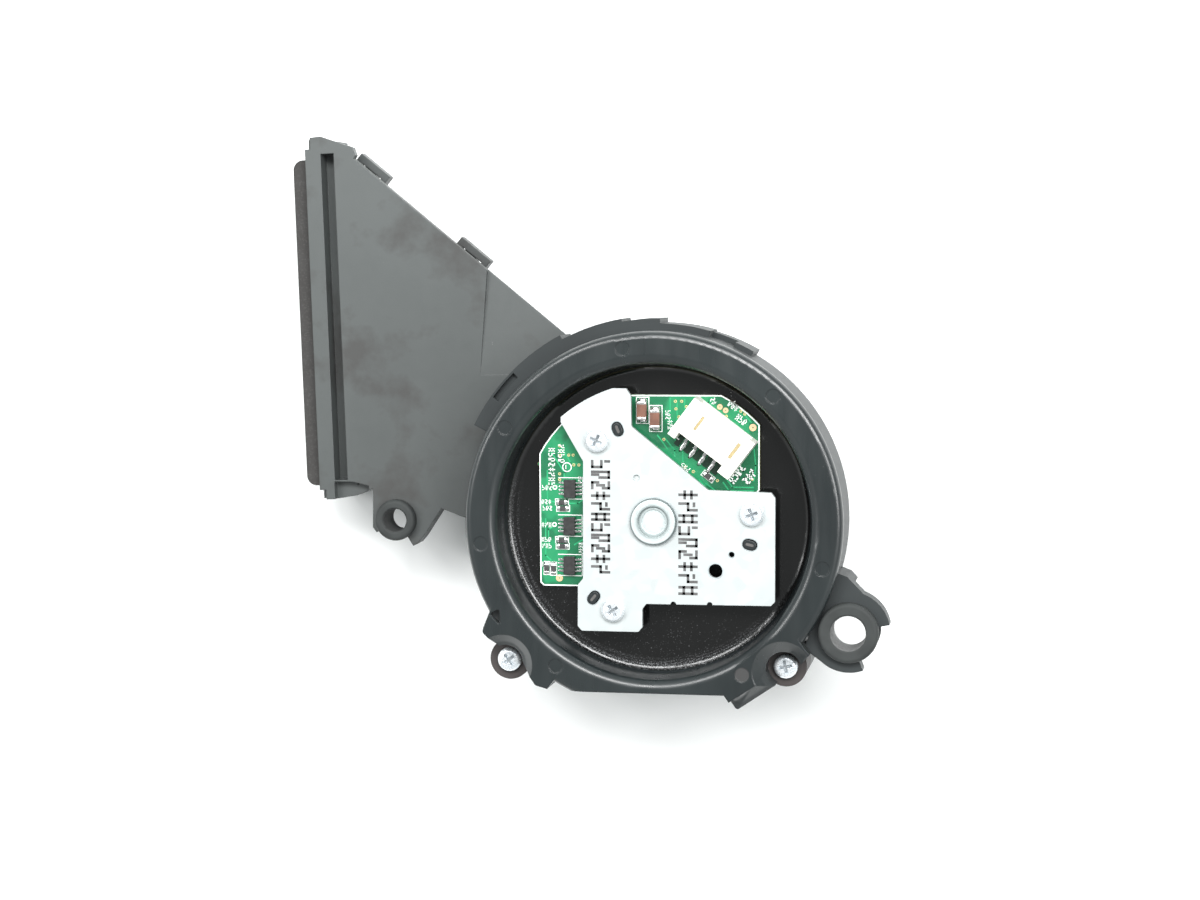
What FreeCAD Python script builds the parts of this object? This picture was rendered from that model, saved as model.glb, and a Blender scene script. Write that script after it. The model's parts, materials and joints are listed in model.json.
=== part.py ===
import FreeCAD, Part
import math
import os
import re

# Suction blower of a robot vacuum cleaner: a moulded intake duct with a rubber mouth seal, a round
# fan housing on top of its end, a small brushless motor with its circuit board in the housing's recess,
# and a centrifugal impeller inside.
# Frame: millimetres, +Z up out of the motor side, the fan axis is X = Y = 0, and z = 0 is the flat
# underside of the duct cover. The duct's mouth faces -X and the exhaust faces -Y.

Vector = FreeCAD.Vector
UP = Vector(0, 0, 1)

doc = FreeCAD.newDocument("SuctionBlower")
sheet = doc.addObject("Spreadsheet::Sheet", "Dimensions")

DIMENSIONS = (
    # heights of the stack, from the duct cover's underside
    ("cover_thick", 1.6, "duct cover's floor"),
    ("wall", 1.6, "general moulded wall"),
    ("partition_low", 10.4, "underside of the partition under the fan"),
    ("partition_top", 12.0, "top of that partition"),
    ("duct_top", 18.0, "duct's flat top face"),
    ("split", 20.0, "joint between duct body and motor housing"),
    ("floor_low", 24.9, "underside of the recess floor"),
    ("floor_top", 26.5, "recess floor"),
    ("ear_top", 27.5, "top of the screw ears"),
    ("collar_top", 28.0, "top of the collar round the housing"),
    ("rim_top", 34.0, "top of the rim"),
    ("mouth_low", 3.4, "mouth's lower edge"),
    ("mouth_high", 13.0, "mouth's upper edge"),
    ("groove_low", 14.4, "bottom of the groove behind the flange"),
    ("exhaust_top", 24.3, "top of the exhaust"),
    ("lobe_bevel", 2.2, "bevel of the rim's right corner"),
    ("pocket_bevel", 2.1, "bevel round the screwdriver pockets"),
    ("roof_thick", 1.8, "duct's roof, which overhangs its slanted wall"),
    ("latch_low", 11.4, "underside of the latch loops' bars"),
    ("latch_top", 14.0, "top of the latch loops' bars"),
    ("connector_top", 33.6, "top of the connector"),
    ("board_low", 26.9, "underside of the circuit board"),
    ("board_top", 28.1, "top of the circuit board"),
    ("plate_low", 30.2, "underside of the motor plate"),
    ("plate_top", 31.2, "top of the motor plate"),
    ("holder_top", 32.2, "top of the bearing holder"),
    # fan housing
    ("housing_radius", 32.7, "housing's outer wall"),
    ("housing_inner", 31.1, "housing's inner wall"),
    ("rim_edge", 27.2, "inner edge of the rim, before its rounding"),
    ("recess_radius", 26.7, "recess wall at the floor"),
    ("rim_hollow_inner", 28.5, "inner wall of the hollow rim"),
    ("chord", 29.4, "flat over the exhaust, from the axis"),
    ("motor_hole", 15.0, "hole in the recess floor round the rotor"),
    ("collar_outer", 36.0, "collar's outer wall at the duct"),
    ("volute_outer", 31.0, "lower volute wall, outside"),
    ("volute_inner", 29.4, "lower volute wall, inside"),
    ("plenum_outer", 29.8, "plenum wall under the fan, outside"),
    ("plenum_inner", 28.2, "plenum wall under the fan, inside"),
    # fastening
    ("screw_circle", 17.0, "motor plate screws, from the axis"),
    ("post_radius", 2.6, "screw posts on the recess floor"),
    ("ear_radius", 3.6, "screw ears of the housing"),
    ("pocket_radius", 3.1, "screwdriver pockets over the ears"),
    ("plate_shank", 0.85, "shank of a motor plate screw"),
    ("plate_head", 2.0, "head of a motor plate screw"),
    ("housing_shank", 1.1, "shank of a housing screw"),
    ("housing_head", 2.1, "head of a housing screw"),
    # rubber grommets
    ("big_bore", 2.95, "right grommet's bore"),
    ("big_neck", 3.9, "right grommet's neck"),
    ("big_flange", 5.15, "right grommet's flanges"),
    ("big_low", 26.8, "underside of the right bracket's plate"),
    ("big_high", 30.8, "top of the right bracket's plate"),
    ("big_lip", 2.0, "right grommet's flange thickness"),
    ("small_bore", 2.1, "left grommet's bore"),
    ("small_neck", 2.7, "left grommet's neck"),
    ("small_flange", 3.7, "left grommet's flanges"),
    ("small_low", 14.0, "underside of the left lug"),
    ("small_lip", 1.9, "left grommet's flange thickness"),
    # motor
    ("shaft_radius", 1.0, "shaft"),
    ("bearing_outer", 2.5, "bearings, outside"),
    ("bearing_width", 2.3, "bearings, width"),
    ("upper_bearing", 27.0, "underside of the upper bearing"),
    ("lower_bearing", 16.9, "underside of the lower bearing"),
    ("holder_radius", 3.4, "bearing holder's tube"),
    ("holder_flange", 4.0, "bearing holder's flange"),
    ("cup_radius", 11.0, "rotor cup, outside"),
    ("cup_wall", 0.9, "rotor cup's wall"),
    ("cup_low", 14.2, "rotor cup's underside"),
    ("cup_high", 24.2, "rotor cup's open rim"),
    ("magnet_inner", 8.9, "magnet ring, inside"),
    ("core_radius", 8.6, "stator core, outside"),
    ("core_low", 17.4, "stator core's underside"),
    ("core_high", 22.4, "stator core's top"),
    ("insulator", 0.5, "stator insulator's thickness"),
    # impeller
    ("hub_radius", 12.0, "impeller hub"),
    ("impeller_radius", 25.5, "impeller, outside"),
    ("backplate_low", 22.8, "underside of the impeller's back plate"),
    ("backplate_top", 24.0, "top of the impeller's back plate"),
    ("blade_low", 14.2, "lower edge of the impeller blades"),
    ("hub_low", 12.6, "underside of the impeller hub"),
    ("blade_thick", 0.9, "impeller blade"),
    ("shroud_eye", 18.6, "impeller shroud's eye"),
    ("shroud_thick", 0.8, "impeller shroud"),
    ("eye_radius", 17.4, "bellmouth's throat"),
    ("eye_wall", 0.8, "bellmouth's wall"),
    ("eye_flange", 20.5, "bellmouth's flange on the partition"),
)

for row, (alias, value, meaning) in enumerate(DIMENSIONS, start=1):
    sheet.set("A%d" % row, "'" + meaning)
    sheet.set("B%d" % row, str(value))
    sheet.setAlias("B%d" % row, alias)
doc.recompute()

ALIASES = {alias for alias, value, meaning in DIMENSIONS}
NODES = []


def size(alias):
    """Value of one spreadsheet cell."""
    return float(getattr(sheet, alias))


def expression(text):
    """The same formula with each alias pointing at the spreadsheet."""
    def point(match):
        word = match.group(0)
        return "Dimensions." + word if word in ALIASES else word
    return re.sub(r"[a-z_]+", point, str(text))


def bind(item, **formulas):
    """Bind properties of a document object to formulas of spreadsheet cells."""
    for name, text in formulas.items():
        item.setExpression(name, expression(text))


def place(item, x=0, y=0, z=0, turn=0):
    """Put an object at x, y, z, turned about Z; z may be a formula."""
    item.Placement = FreeCAD.Placement(Vector(x, y, 0), FreeCAD.Rotation(UP, turn))
    item.setExpression("Placement.Base.z", expression(z))


def node(item, label):
    """Name a finished sub-part: its label is its file's name."""
    item.Label = label
    NODES.append(item)
    return item


# ---- primitives and booleans -------------------------------------------------------------------

def cylinder(name, radius, low, high, x=0, y=0):
    item = doc.addObject("Part::Cylinder", name)
    bind(item, Radius=radius, Height="(%s) - (%s)" % (high, low))
    place(item, x, y, low)
    return item


def sector(name, outer, low, high, start, stop):
    """Pie slice of a cylinder about the fan axis, between two angles in degrees."""
    item = doc.addObject("Part::Cylinder", name)
    item.Angle = stop - start
    bind(item, Radius=outer, Height="(%s) - (%s)" % (high, low))
    place(item, 0, 0, low, start)
    return item


def block(name, x0, x1, y0, y1, low, high, origin=(0, 0), turn=0):
    """Box between local corners x0..x1, y0..y1 of a frame at origin turned about Z."""
    item = doc.addObject("Part::Box", name)
    item.Length = x1 - x0
    item.Width = y1 - y0
    bind(item, Height="(%s) - (%s)" % (high, low))
    corner = FreeCAD.Rotation(UP, turn).multVec(Vector(x0, y0, 0))
    place(item, origin[0] + corner.x, origin[1] + corner.y, low, turn)
    return item


def fuse(name, *items):
    item = doc.addObject("Part::MultiFuse", name)
    item.Shapes = list(items)
    item.Refine = True
    return item


def cut(name, base, *tools):
    item = doc.addObject("Part::Cut", name)
    item.Base = base
    item.Tool = tools[0] if len(tools) == 1 else fuse(name + "_tools", *tools)
    item.Refine = True
    return item


def common(name, *items):
    item = doc.addObject("Part::MultiCommon", name)
    item.Shapes = list(items)
    return item


# ---- outlines ----------------------------------------------------------------------------------

def outline(points):
    """Closed loop of lines and arcs. A point is (x, y), (x, y, corner radius), or, after the corner
    that an arc leaves, ("through", x, y)."""
    corners = [p for p in points if p[0] != "through"]
    count = len(corners)
    through = {}
    for p in points:
        if p[0] == "through":
            through[leaving] = Vector(p[1], p[2], 0)
        else:
            leaving = corners.index(p)
    entry = []
    leave = []
    pieces = []
    for i, p in enumerate(corners):
        here = Vector(p[0], p[1], 0)
        radius = p[2] if len(p) > 2 else 0
        if radius == 0:
            entry.append(here)
            leave.append(here)
            continue
        before = Vector(*corners[i - 1][:2], 0) - here
        after = Vector(*corners[(i + 1) % count][:2], 0) - here
        before.normalize()
        after.normalize()
        half = before.getAngle(after) / 2
        back = radius / math.tan(half)
        bisector = (before + after).normalize()
        middle = here + bisector * (radius / math.sin(half) - radius)
        entry.append(here + before * back)
        leave.append(here + after * back)
        pieces.append(Part.Arc(entry[i], middle, leave[i]))
    for i in range(count):
        start = leave[i]
        stop = entry[(i + 1) % count]
        if i in through:
            pieces.append(Part.Arc(start, through[i], stop))
        elif start.distanceToPoint(stop) > 1e-6:
            pieces.append(Part.LineSegment(start, stop))
    return pieces


def ring_of(radius, x=0, y=0):
    return [Part.Circle(Vector(x, y, 0), UP, radius)]


def sketch(name, *loops):
    item = doc.addObject("Sketcher::SketchObject", name + "_sketch")
    for loop in loops:
        item.addGeometry(loop, False)
    return item


def prism(name, low, high, *loops, taper=0, origin=(0, 0), turn=0):
    """Solid between two heights over a flat outline; taper leans its sides."""
    base = sketch(name, *loops)
    place(base, origin[0], origin[1], low, turn)
    item = doc.addObject("Part::Extrusion", name)
    item.Base = base
    item.DirMode = "Custom"
    item.Dir = UP
    item.Solid = True
    item.TaperAngle = taper
    bind(item, LengthFwd="(%s) - (%s)" % (high, low))
    return item


def turned(name, *loops, axis=(0, 0)):
    """Solid of revolution about a vertical axis; loops hold (radius, height) points."""
    profile = sketch(name, *loops)
    profile.Placement = FreeCAD.Placement(Vector(axis[0], axis[1], 0), FreeCAD.Rotation(Vector(1, 0, 0), 90))
    item = doc.addObject("Part::Revolution", name)
    item.Source = profile
    item.Axis = UP
    item.Base = Vector(axis[0], axis[1], 0)
    item.Angle = 360
    item.Solid = True
    return item


def polar(radius, degrees, centre=(0, 0)):
    angle = math.radians(degrees)
    return (centre[0] + radius * math.cos(angle), centre[1] + radius * math.sin(angle))


# ---- part design helpers -------------------------------------------------------------------------

def new_body(label):
    return doc.addObject("PartDesign::Body", label)


def origin_plane(body, role):
    return [feature for feature in body.Origin.OriginFeatures if feature.Role == role][0]


def body_sketch(body, name, *loops, role="XY_Plane", height="0"):
    item = body.newObject("Sketcher::SketchObject", name)
    item.AttachmentSupport = [(origin_plane(body, role), "")]
    item.MapMode = "FlatFace"
    item.setExpression("AttachmentOffset.Base.z", expression(height))
    for loop in loops:
        item.addGeometry(loop, False)
    return item


def pad(body, name, profile, length):
    item = body.newObject("PartDesign::Pad", name)
    item.Profile = profile
    bind(item, Length=length)
    return item


def around(body, name, feature, count):
    """Polar pattern of one feature about the body's Z axis."""
    item = body.newObject("PartDesign::PolarPattern", name)
    item.Originals = [feature]
    item.Axis = (body.Origin.OriginFeatures[2], [""])
    item.Angle = 360
    item.Occurrences = count
    body.Tip = item
    return item


def group(name, items):
    """Identical pieces kept as separate solids of one sub-part."""
    item = doc.addObject("Part::Compound", name)
    item.Links = list(items)
    return item


# ---- places in plan ------------------------------------------------------------------------------

FLANGE_LOW = (-63.1, 1.6)
FLANGE_HIGH = (-65.4, 66.2)
FLANGE_MIDDLE = (-64.25, 33.9)
FLANGE_LEAN = 2.04
FLANGE_WIDE = 2.9
GROOVE_WIDE = 2.4
MOUTH = (-27.0, 26.0)
SLANT_START = (-56.3, 62.9)
SLANT_STOP = (-18.3, 31.8)
SLANT_TURN = -39.3
DUCT_OUTLINE = (
    FLANGE_LOW, (-59.9, 1.7), (-56.6, 2.3), (-53.0, 3.8), (-40.6, 0.3), (-29.5, -3.7), (-12.8, 26.9),
    SLANT_STOP, SLANT_START, (-56.0, 63.5), (-56.5, 64.9), (-62.6, 66.9), (-65.2, 66.6), FLANGE_HIGH,
)
WALL_OUTLINE = (
    FLANGE_LOW, (-59.9, 1.7), (-56.6, 2.3), (-53.0, 3.8), (-40.6, 0.3), (-29.5, -3.7), (-12.8, 26.9),
    (-21.0, 28.5), (-59.2, 59.85), (-59.2, 61.4), (-62.3, 61.8), (-62.4, 66.5), (-65.2, 66.6), FLANGE_HIGH,
)
CHAMBER_OUTLINE = (
    (-56.6, 4.2), (-53.0, 5.5), (-40.2, 1.9), (-27.9, -2.0), (-13.0, 24.6), (-22.0, 27.3),
    (-58.8, 57.4),
)
LATCHES = ((-0.4, 6.4), (23.4, 30.3))
SMALL_GROMMET = (-48.8, -1.8)
BIG_GROMMET = (33.5, -18.4)
HOUSING_SCREWS = ((-26.0, -25.0), (22.5, -25.0))
POST_ANGLES = (5.0, 125.5, 245.5)
PIN_ANGLES = (-12.7, 111.6, 231.9)
EXHAUST = (-13.7, 12.5)
COLLAR_STEPS = ((118, 153.5, 0), (100, 118, 0.8), (89, 100, 1.3), (74, 89, 2.1), (60, 66, 2.4))
MARK_ANGLES = (147.8, 99.5, 46.4, -14.1, -58.8, -123.7, -172.2)
CONNECTOR = (10.2, 14.5)
CONNECTOR_TURN = -37.0
FAR = 80.0


# ---- duct: cover, body, bellmouth and seal -------------------------------------------------------

def along_slant(distance):
    """Point of the duct's slanted edge, measured from its mouth end."""
    angle = math.radians(SLANT_TURN)
    return (SLANT_START[0] + distance * math.cos(angle), SLANT_START[1] + distance * math.sin(angle))


def latch_loop(number, start, stop):
    """Loop of the cover: two uprights under the roof's overhang and a bar that snaps over a catch."""
    corner = along_slant(start)
    length = stop - start
    post = 1.2
    uprights = block("loop_%d_posts" % number, 0, length, -3.9, -2.7, "0", "latch_top", corner, SLANT_TURN)
    roots = block("loop_%d_roots" % number, 0, length, -5, -2.7, "0", "cover_thick", corner, SLANT_TURN)
    bar = block("loop_%d_bar" % number, 0, length, -3.9, 1.1, "latch_low", "latch_top", corner, SLANT_TURN)
    window = block("loop_%d_window" % number, post, length - post, -6, -0.2, "-1", "latch_top + 1", corner,
                   SLANT_TURN)
    return cut("latch_loop_%d" % number, fuse("loop_%d_solid" % number, uprights, roots, bar), window)


def duct_cover():
    floor = fuse(
        "cover_floor",
        prism("cover_duct", "0", "cover_thick", outline(WALL_OUTLINE)),
        cylinder("cover_disc", "plenum_outer", "0", "cover_thick"),
    )
    loops = [latch_loop(number, start, stop) for number, (start, stop) in enumerate(LATCHES)]
    return node(fuse("duct_cover", floor, *loops), "duct_cover")


def lug():
    """C-shaped plate that holds the left grommet, level with the duct's top."""
    plate = prism(
        "lug_plate", "small_low", "duct_top",
        outline((
            (-53.2, 5.0), (-53.3, -3.3), (-52.6, -4.2), (-49.2, -7.2), (-46.7, -7.0), (-45.0, -6.1),
            (-44.0, -4.9), (-40.6, 0.3), (-42.0, 4.0),
        )),
    )
    slot = cylinder("lug_neck", "small_neck", "small_low", "duct_top", *SMALL_GROMMET)
    mouth = prism(
        "lug_mouth", "small_low", "duct_top",
        outline((SMALL_GROMMET, polar(12, 212, SMALL_GROMMET), polar(12, 302, SMALL_GROMMET))),
    )
    return cut("lug", plate, slot, mouth)


def catches():
    """Ramps on the slanted wall that the cover's loops snap over."""
    items = []
    for number, (start, stop) in enumerate(LATCHES):
        reach = (stop - start) * 0.62
        items.append(block("catch_%d" % number, 1.6, reach, -5, -0.4, "latch_low - 2.5", "latch_low + 1",
                           along_slant(start), SLANT_TURN))
    return items


def air_way():
    """Space for the air: duct, round plenum under the fan, and the mouth's neck."""
    return fuse(
        "air_way",
        prism("duct_hollow", "cover_thick", "duct_top - roof_thick", outline(CHAMBER_OUTLINE)),
        cylinder("plenum_hollow", "plenum_inner", "cover_thick", "partition_low"),
        block("mouth_neck", -1, 5, MOUTH[0], MOUTH[1], "mouth_low", "mouth_high", FLANGE_MIDDLE, FLANGE_LEAN),
        block("neck_end", 4, 7.2, MOUTH[0], MOUTH[1] - 3.5, "mouth_low", "mouth_high", FLANGE_MIDDLE,
              FLANGE_LEAN),
    )


def duct_body():
    roof_low = "duct_top - roof_thick"
    shell = fuse(
        "duct_shell",
        prism("duct_block", "cover_thick", roof_low, outline(WALL_OUTLINE)),
        prism("duct_roof", roof_low, "duct_top", outline(DUCT_OUTLINE)),
        block("groove_end", FLANGE_WIDE - 0.4, FLANGE_WIDE + GROOVE_WIDE + 0.6, 26.5, 31, "groove_low - 1.6",
              roof_low, FLANGE_MIDDLE, FLANGE_LEAN),
        lug(),
        *catches(),
    )
    groove = block("groove", FLANGE_WIDE, FLANGE_WIDE + GROOVE_WIDE, -28.9, 29.8, "groove_low", "duct_top",
                   FLANGE_MIDDLE, FLANGE_LEAN)
    low_band = prism("low_band", "duct_top - 1.8", "duct_top",
                     outline(((-60.3, 0.5), (-54.0, 0.5), (-54.0, 4.2), (-57.0, 4.9), (-60.4, 4.9))))
    strip_ends = [
        block("strip_low_notch", -0.5, 1.2, -32.5, -30.6, "duct_top - 2.6", "duct_top", FLANGE_MIDDLE,
              FLANGE_LEAN),
        block("strip_high_notch", -0.5, 1.0, 30.7, 33.0, "duct_top - 2.6", "duct_top", FLANGE_MIDDLE,
              FLANGE_LEAN),
    ]
    casing_space = fuse(
        "casing_space",
        cylinder("casing_space_low", "plenum_outer", "0", "partition_low"),
        cylinder("casing_space_high", "volute_outer", "partition_low", "split"),
    )
    return node(cut("duct_body", shell, air_way(), groove, low_band, facet(), casing_space, *strip_ends),
                "duct_body")


def fan_casing():
    """Round casing under the housing: plenum wall, partition, volute wall and screw bosses."""
    wide = size("wall") + 0.2
    bosses = []
    for number, (x, y) in enumerate(HOUSING_SCREWS):
        reach = math.hypot(x, y)
        bosses.append(cylinder("casing_boss_%d" % number, "ear_radius", "partition_low", "split", x, y))
        bosses.append(block("casing_web_%d" % number, 29.8, reach, -2.2, 2.2, "partition_low", "split",
                            (0, 0), math.degrees(math.atan2(y, x))))
    plenum = cut("plenum_open", cylinder("plenum_block", "plenum_outer", "cover_thick", "partition_low"),
                 air_way())
    scroll = fuse(
        "scroll_block",
        plenum,
        cylinder("volute_block", "volute_outer", "partition_low", "split"),
        cylinder("flange_ring", "housing_radius - 0.3", "split - wall", "split"),
        block("nozzle_block", EXHAUST[0] - wide, EXHAUST[1] + wide, -size("chord"), -20, "partition_low",
              "split"),
        *bosses,
    )
    hollow = [
        cylinder("volute_hollow", "volute_inner", "partition_top", "split"),
        cylinder("bellmouth_hole", "eye_radius + eye_wall", "partition_low", "partition_top"),
        block("exhaust_hollow", EXHAUST[0], EXHAUST[1], -FAR, -20, "partition_top", "split"),
        block("chord_clip", EXHAUST[0] - wide, EXHAUST[1] + wide, -FAR, -size("chord"), "0", "split"),
    ]
    for number, (x, y) in enumerate(HOUSING_SCREWS):
        hollow.append(cylinder("casing_pilot_%d" % number, "housing_shank", "split - 8", "split", x, y))
    return node(cut("fan_casing", scroll, *hollow), "fan_casing")


def facet():
    """Sloping facet of the duct's top beside the collar: its step fades out towards the collar."""
    start = Vector(-33.3, 24.3, size("duct_top"))
    stop = Vector(-32.0, 43.3, size("duct_top") - 0.9)
    edge = Vector(-20.0, 33.2, size("duct_top") - 1.1)
    normal = (edge - start).cross(stop - start).normalize()
    base = sketch("facet", outline(((0, 0), (18, 0), (18, 22), (1.3, 19.1))))
    base.Placement = FreeCAD.Placement(start, FreeCAD.Rotation(UP, normal))
    item = doc.addObject("Part::Extrusion", "facet")
    item.Base = base
    item.DirMode = "Custom"
    item.Dir = normal
    item.Solid = True
    item.LengthFwd = 4
    return item


def inlet_bellmouth():
    inside = size("eye_radius")
    outside = inside + size("eye_wall")
    flange = size("eye_flange")
    partition = size("partition_top")
    low = size("partition_low")
    top = size("blade_low") - 0.4
    profile = outline((
        (inside, low), (outside, low), (outside, partition), (flange, partition), (flange, partition + 0.8),
        (outside, partition + 0.8), (outside, top), (inside, top),
    ))
    return node(turned("inlet_bellmouth", profile), "inlet_bellmouth")


def mouth_seal():
    ring = prism(
        "seal_ring", "1.7", "16.2",
        outline(((0, -29.9), (0, 28.9), (-2.8, 28.9, 1.8), (-2.8, -29.9, 1.8))),
        origin=FLANGE_MIDDLE, turn=FLANGE_LEAN,
    )
    lip = block("seal_lip", 0, 2.6, MOUTH[0], MOUTH[1], "mouth_low", "mouth_high", FLANGE_MIDDLE, FLANGE_LEAN)
    opening = block("seal_opening", -5, 5, MOUTH[0] + 0.8, MOUTH[1] - 0.8, "mouth_low + 0.8",
                    "mouth_high - 0.8", FLANGE_MIDDLE, FLANGE_LEAN)
    return node(cut("mouth_seal", fuse("seal_solid", ring, lip), opening), "mouth_seal")


# ---- motor housing -------------------------------------------------------------------------------

def ring_solid():
    """Ring and recess of the housing, cut off flat over the exhaust; still solid below the floor."""
    wide = size("housing_radius")
    top = size("rim_top")
    floor = size("floor_top")
    lathe = turned("housing_ring", outline((
        (0, size("split")), (wide, size("split")), (wide, top, 1.2), (size("rim_edge"), top, 1.7),
        (size("recess_radius"), floor, 1.2), (0, floor),
    )))
    beyond = block("housing_chord", -FAR, FAR, -FAR, -size("chord"), "split", "rim_top")
    return cut("housing_clipped", lathe, beyond)


def collar():
    """Stepped wall round the housing's left and upper side, with the slot of a snap in it."""
    low = "duct_top + 0.2"
    steps = [sector("collar_dip", "collar_outer - 2.4", low, "collar_top - 5", 66, 74)]
    for number, (start, stop, less) in enumerate(COLLAR_STEPS):
        steps.append(sector("collar_%d" % number, "collar_outer - %s" % less, low, "collar_top", start, stop))
    outer = sector("window_outer", "collar_outer - 0.4", "collar_top - 0.9", "collar_top", 135, 144)
    inner = cylinder("window_inner", "collar_outer - 1.5", "collar_top - 0.9", "collar_top")
    return cut(
        "collar", fuse("collar_solid", *steps),
        cylinder("collar_bore", "housing_radius - 0.8", low, "collar_top"),
        cylinder("collar_seat", "housing_radius - 0.1", low, "split"),
        cut("collar_window", outer, inner),
    )


def lobes():
    """The two corners of the rim that reach out round the housing screws."""
    left = prism("left_lobe", "split", "rim_top", outline((
        (-27.9, -14.9), (-29.4, -18.6), (-29.6, -19.5, 0.6), (-26.7, -22.4), (-23.0, -24.6),
        (-20.3, -28.5, 0.6), (-18.2, -29.1), (-15.0, -25.0), (-21.5, -20.0), (-25.5, -14.2),
    )))
    corner = ((12.5, -29.4), (14.5, -32.2, 0.5), (20.7, -28.0), (24.0, -26.0), (27.1, -22.0), (23.4, -17.0),
              (12.0, -26.4))
    behind = ((12.5, -29.4), (13.35, -30.58), (19.58, -26.34), (24.0, -26.0), (27.1, -22.0), (23.4, -17.0),
              (12.0, -26.4))
    right_low = prism("right_lobe", "split", "rim_top - lobe_bevel", outline(corner))
    right_bevel = prism("right_bevel", "rim_top - lobe_bevel", "rim_top", outline(corner), taper=-42)
    right_high = prism("right_top", "rim_top - lobe_bevel", "rim_top", outline(behind))
    return [left, right_low, right_bevel, right_high]


def bracket():
    """C-shaped plate that holds the right grommet."""
    plate = fuse(
        "bracket_plate",
        cylinder("bracket_disc", "7.0", "big_low", "big_high", *BIG_GROMMET),
        prism("bracket_web", "big_low", "big_high", outline((
            (30.6, -8.0), (33.2, -9.0), (36.0, -11.9), BIG_GROMMET, (30.2, -24.6), (25.8, -21.4),
            (29.2, -13.0),
        ))),
        prism("bracket_gusset", "split + 1", "big_low", outline((
            (30.6, -8.0), (33.2, -9.0), (34.3, -10.2), (32.5, -10.9), (30.0, -10.5),
        ))),
    )
    mouth = prism("bracket_mouth", "big_low", "big_high", outline((
        BIG_GROMMET, polar(20, -70, BIG_GROMMET), polar(20, 11, BIG_GROMMET),
    )))
    neck = cylinder("bracket_neck", "big_neck", "big_low", "big_high", *BIG_GROMMET)
    return cut("bracket", plate, mouth, neck)


def oval(name, degrees, half_long, half_wide, low, high):
    """Oval pin or slot on the screw circle, its long axis towards the fan axis."""
    reach = half_long - half_wide
    loop = outline((
        (-reach, -half_wide), (reach, -half_wide), ("through", half_long, 0), (reach, half_wide),
        (-reach, half_wide), ("through", -half_long, 0),
    ))
    return prism(name, low, high, loop, origin=polar(size("screw_circle"), degrees), turn=degrees)


def motor_housing():
    posts = []
    pilots = []
    for number, degrees in enumerate(POST_ANGLES):
        x, y = polar(size("screw_circle"), degrees)
        posts.append(cylinder("post_%d" % number, "post_radius", "floor_low", "plate_low", x, y))
        pilots.append(cylinder("post_pilot_%d" % number, "plate_shank", "floor_top", "plate_low", x, y))
    for number, degrees in enumerate(PIN_ANGLES):
        posts.append(oval("pin_%d" % number, degrees, 1.15, 0.8, "floor_low", "plate_top + 0.3"))
        posts.append(oval("pin_foot_%d" % number, degrees, 1.5, 1.15, "floor_low", "plate_low"))
    rests = [
        block("board_rest_0", -19.4, -16.4, -4, 4, "floor_low", "board_low"),
        block("board_rest_1", 3, 8, 18.6, 21.0, "floor_low", "board_low"),
    ]
    bosses = []
    drills = []
    for number, (x, y) in enumerate(HOUSING_SCREWS):
        bosses.append(cylinder("ear_%d" % number, "ear_radius", "split", "ear_top", x, y))
        drills.append(cylinder("ear_hole_%d" % number, "housing_shank + 0.2", "split", "ear_top", x, y))
        drills.append(cylinder("ear_pocket_%d" % number, "pocket_radius", "ear_top", "rim_top", x, y))
        funnel = doc.addObject("Part::Cone", "ear_funnel_%d" % number)
        bind(funnel, Radius1="pocket_radius", Radius2="pocket_radius + pocket_bevel", Height="pocket_bevel")
        place(funnel, x, y, "rim_top - pocket_bevel")
        drills.append(funnel)
    behind_chord = size("wall") - size("chord")
    inside = block("chord_inside", -FAR, FAR, behind_chord, FAR, "split", "rim_top")
    rim_ring = cut("rim_ring", cylinder("rim_outer", "housing_inner", "split", "rim_top - wall"),
                   cylinder("rim_inner", "rim_hollow_inner", "split", "rim_top - wall"))
    keep = [cylinder("ear_wall_%d" % number, "pocket_radius + 1.2", "split", "rim_top", x, y)
            for number, (x, y) in enumerate(HOUSING_SCREWS)]
    rim_hollow = cut("rim_hollow", common("rim_ring_inside", rim_ring, inside), *keep)
    fan_hollow = common("fan_hollow", cylinder("fan_space", "housing_inner", "split", "floor_low"),
                        block("fan_inside", -FAR, FAR, behind_chord, FAR, "split", "floor_low"))
    marks = []
    for number, degrees in enumerate(MARK_ANGLES):
        x, y = polar(30.1, degrees)
        marks.append(cylinder("mark_%d" % number, "1.25", "rim_top - 0.12", "rim_top", x, y))
    pocket = prism("hook_pocket", "rim_top - 1.5", "rim_top",
                   outline(((-28.3, -16.2, 0.3), (-26.6, -15.3, 0.3), (-26.3, -18.4, 0.3))))
    window = block("exhaust_window", EXHAUST[0], EXHAUST[1], -FAR, -26, "split", "exhaust_top")
    shell = cut(
        "housing_shell",
        fuse("housing_solid", ring_solid(), *lobes()),
        rim_hollow, fan_hollow, window, pocket, *marks,
        cylinder("rotor_hole", "motor_hole", "floor_low", "floor_top"),
    )
    whole = fuse("housing_whole", shell, bracket(), collar(), *posts, *rests, *bosses)
    return node(cut("motor_housing", whole, *pilots, *drills), "motor_housing")


# ---- rubber grommets and screws --------------------------------------------------------------------

def grommet(label, prefix, top, axis):
    bore = size(prefix + "_bore")
    neck = size(prefix + "_neck")
    flange = size(prefix + "_flange")
    lip = size(prefix + "_lip")
    low = size(prefix + "_low")
    high = size(top)
    soft = 0.7
    loop = outline((
        (bore, low - lip, 0.4), (flange, low - lip, soft), (flange, low, 0.3), (neck, low), (neck, high),
        (flange, high, 0.3), (flange, high + lip, soft), (bore, high + lip, 0.4),
    ))
    return node(turned(label, loop, axis=axis), label)


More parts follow.
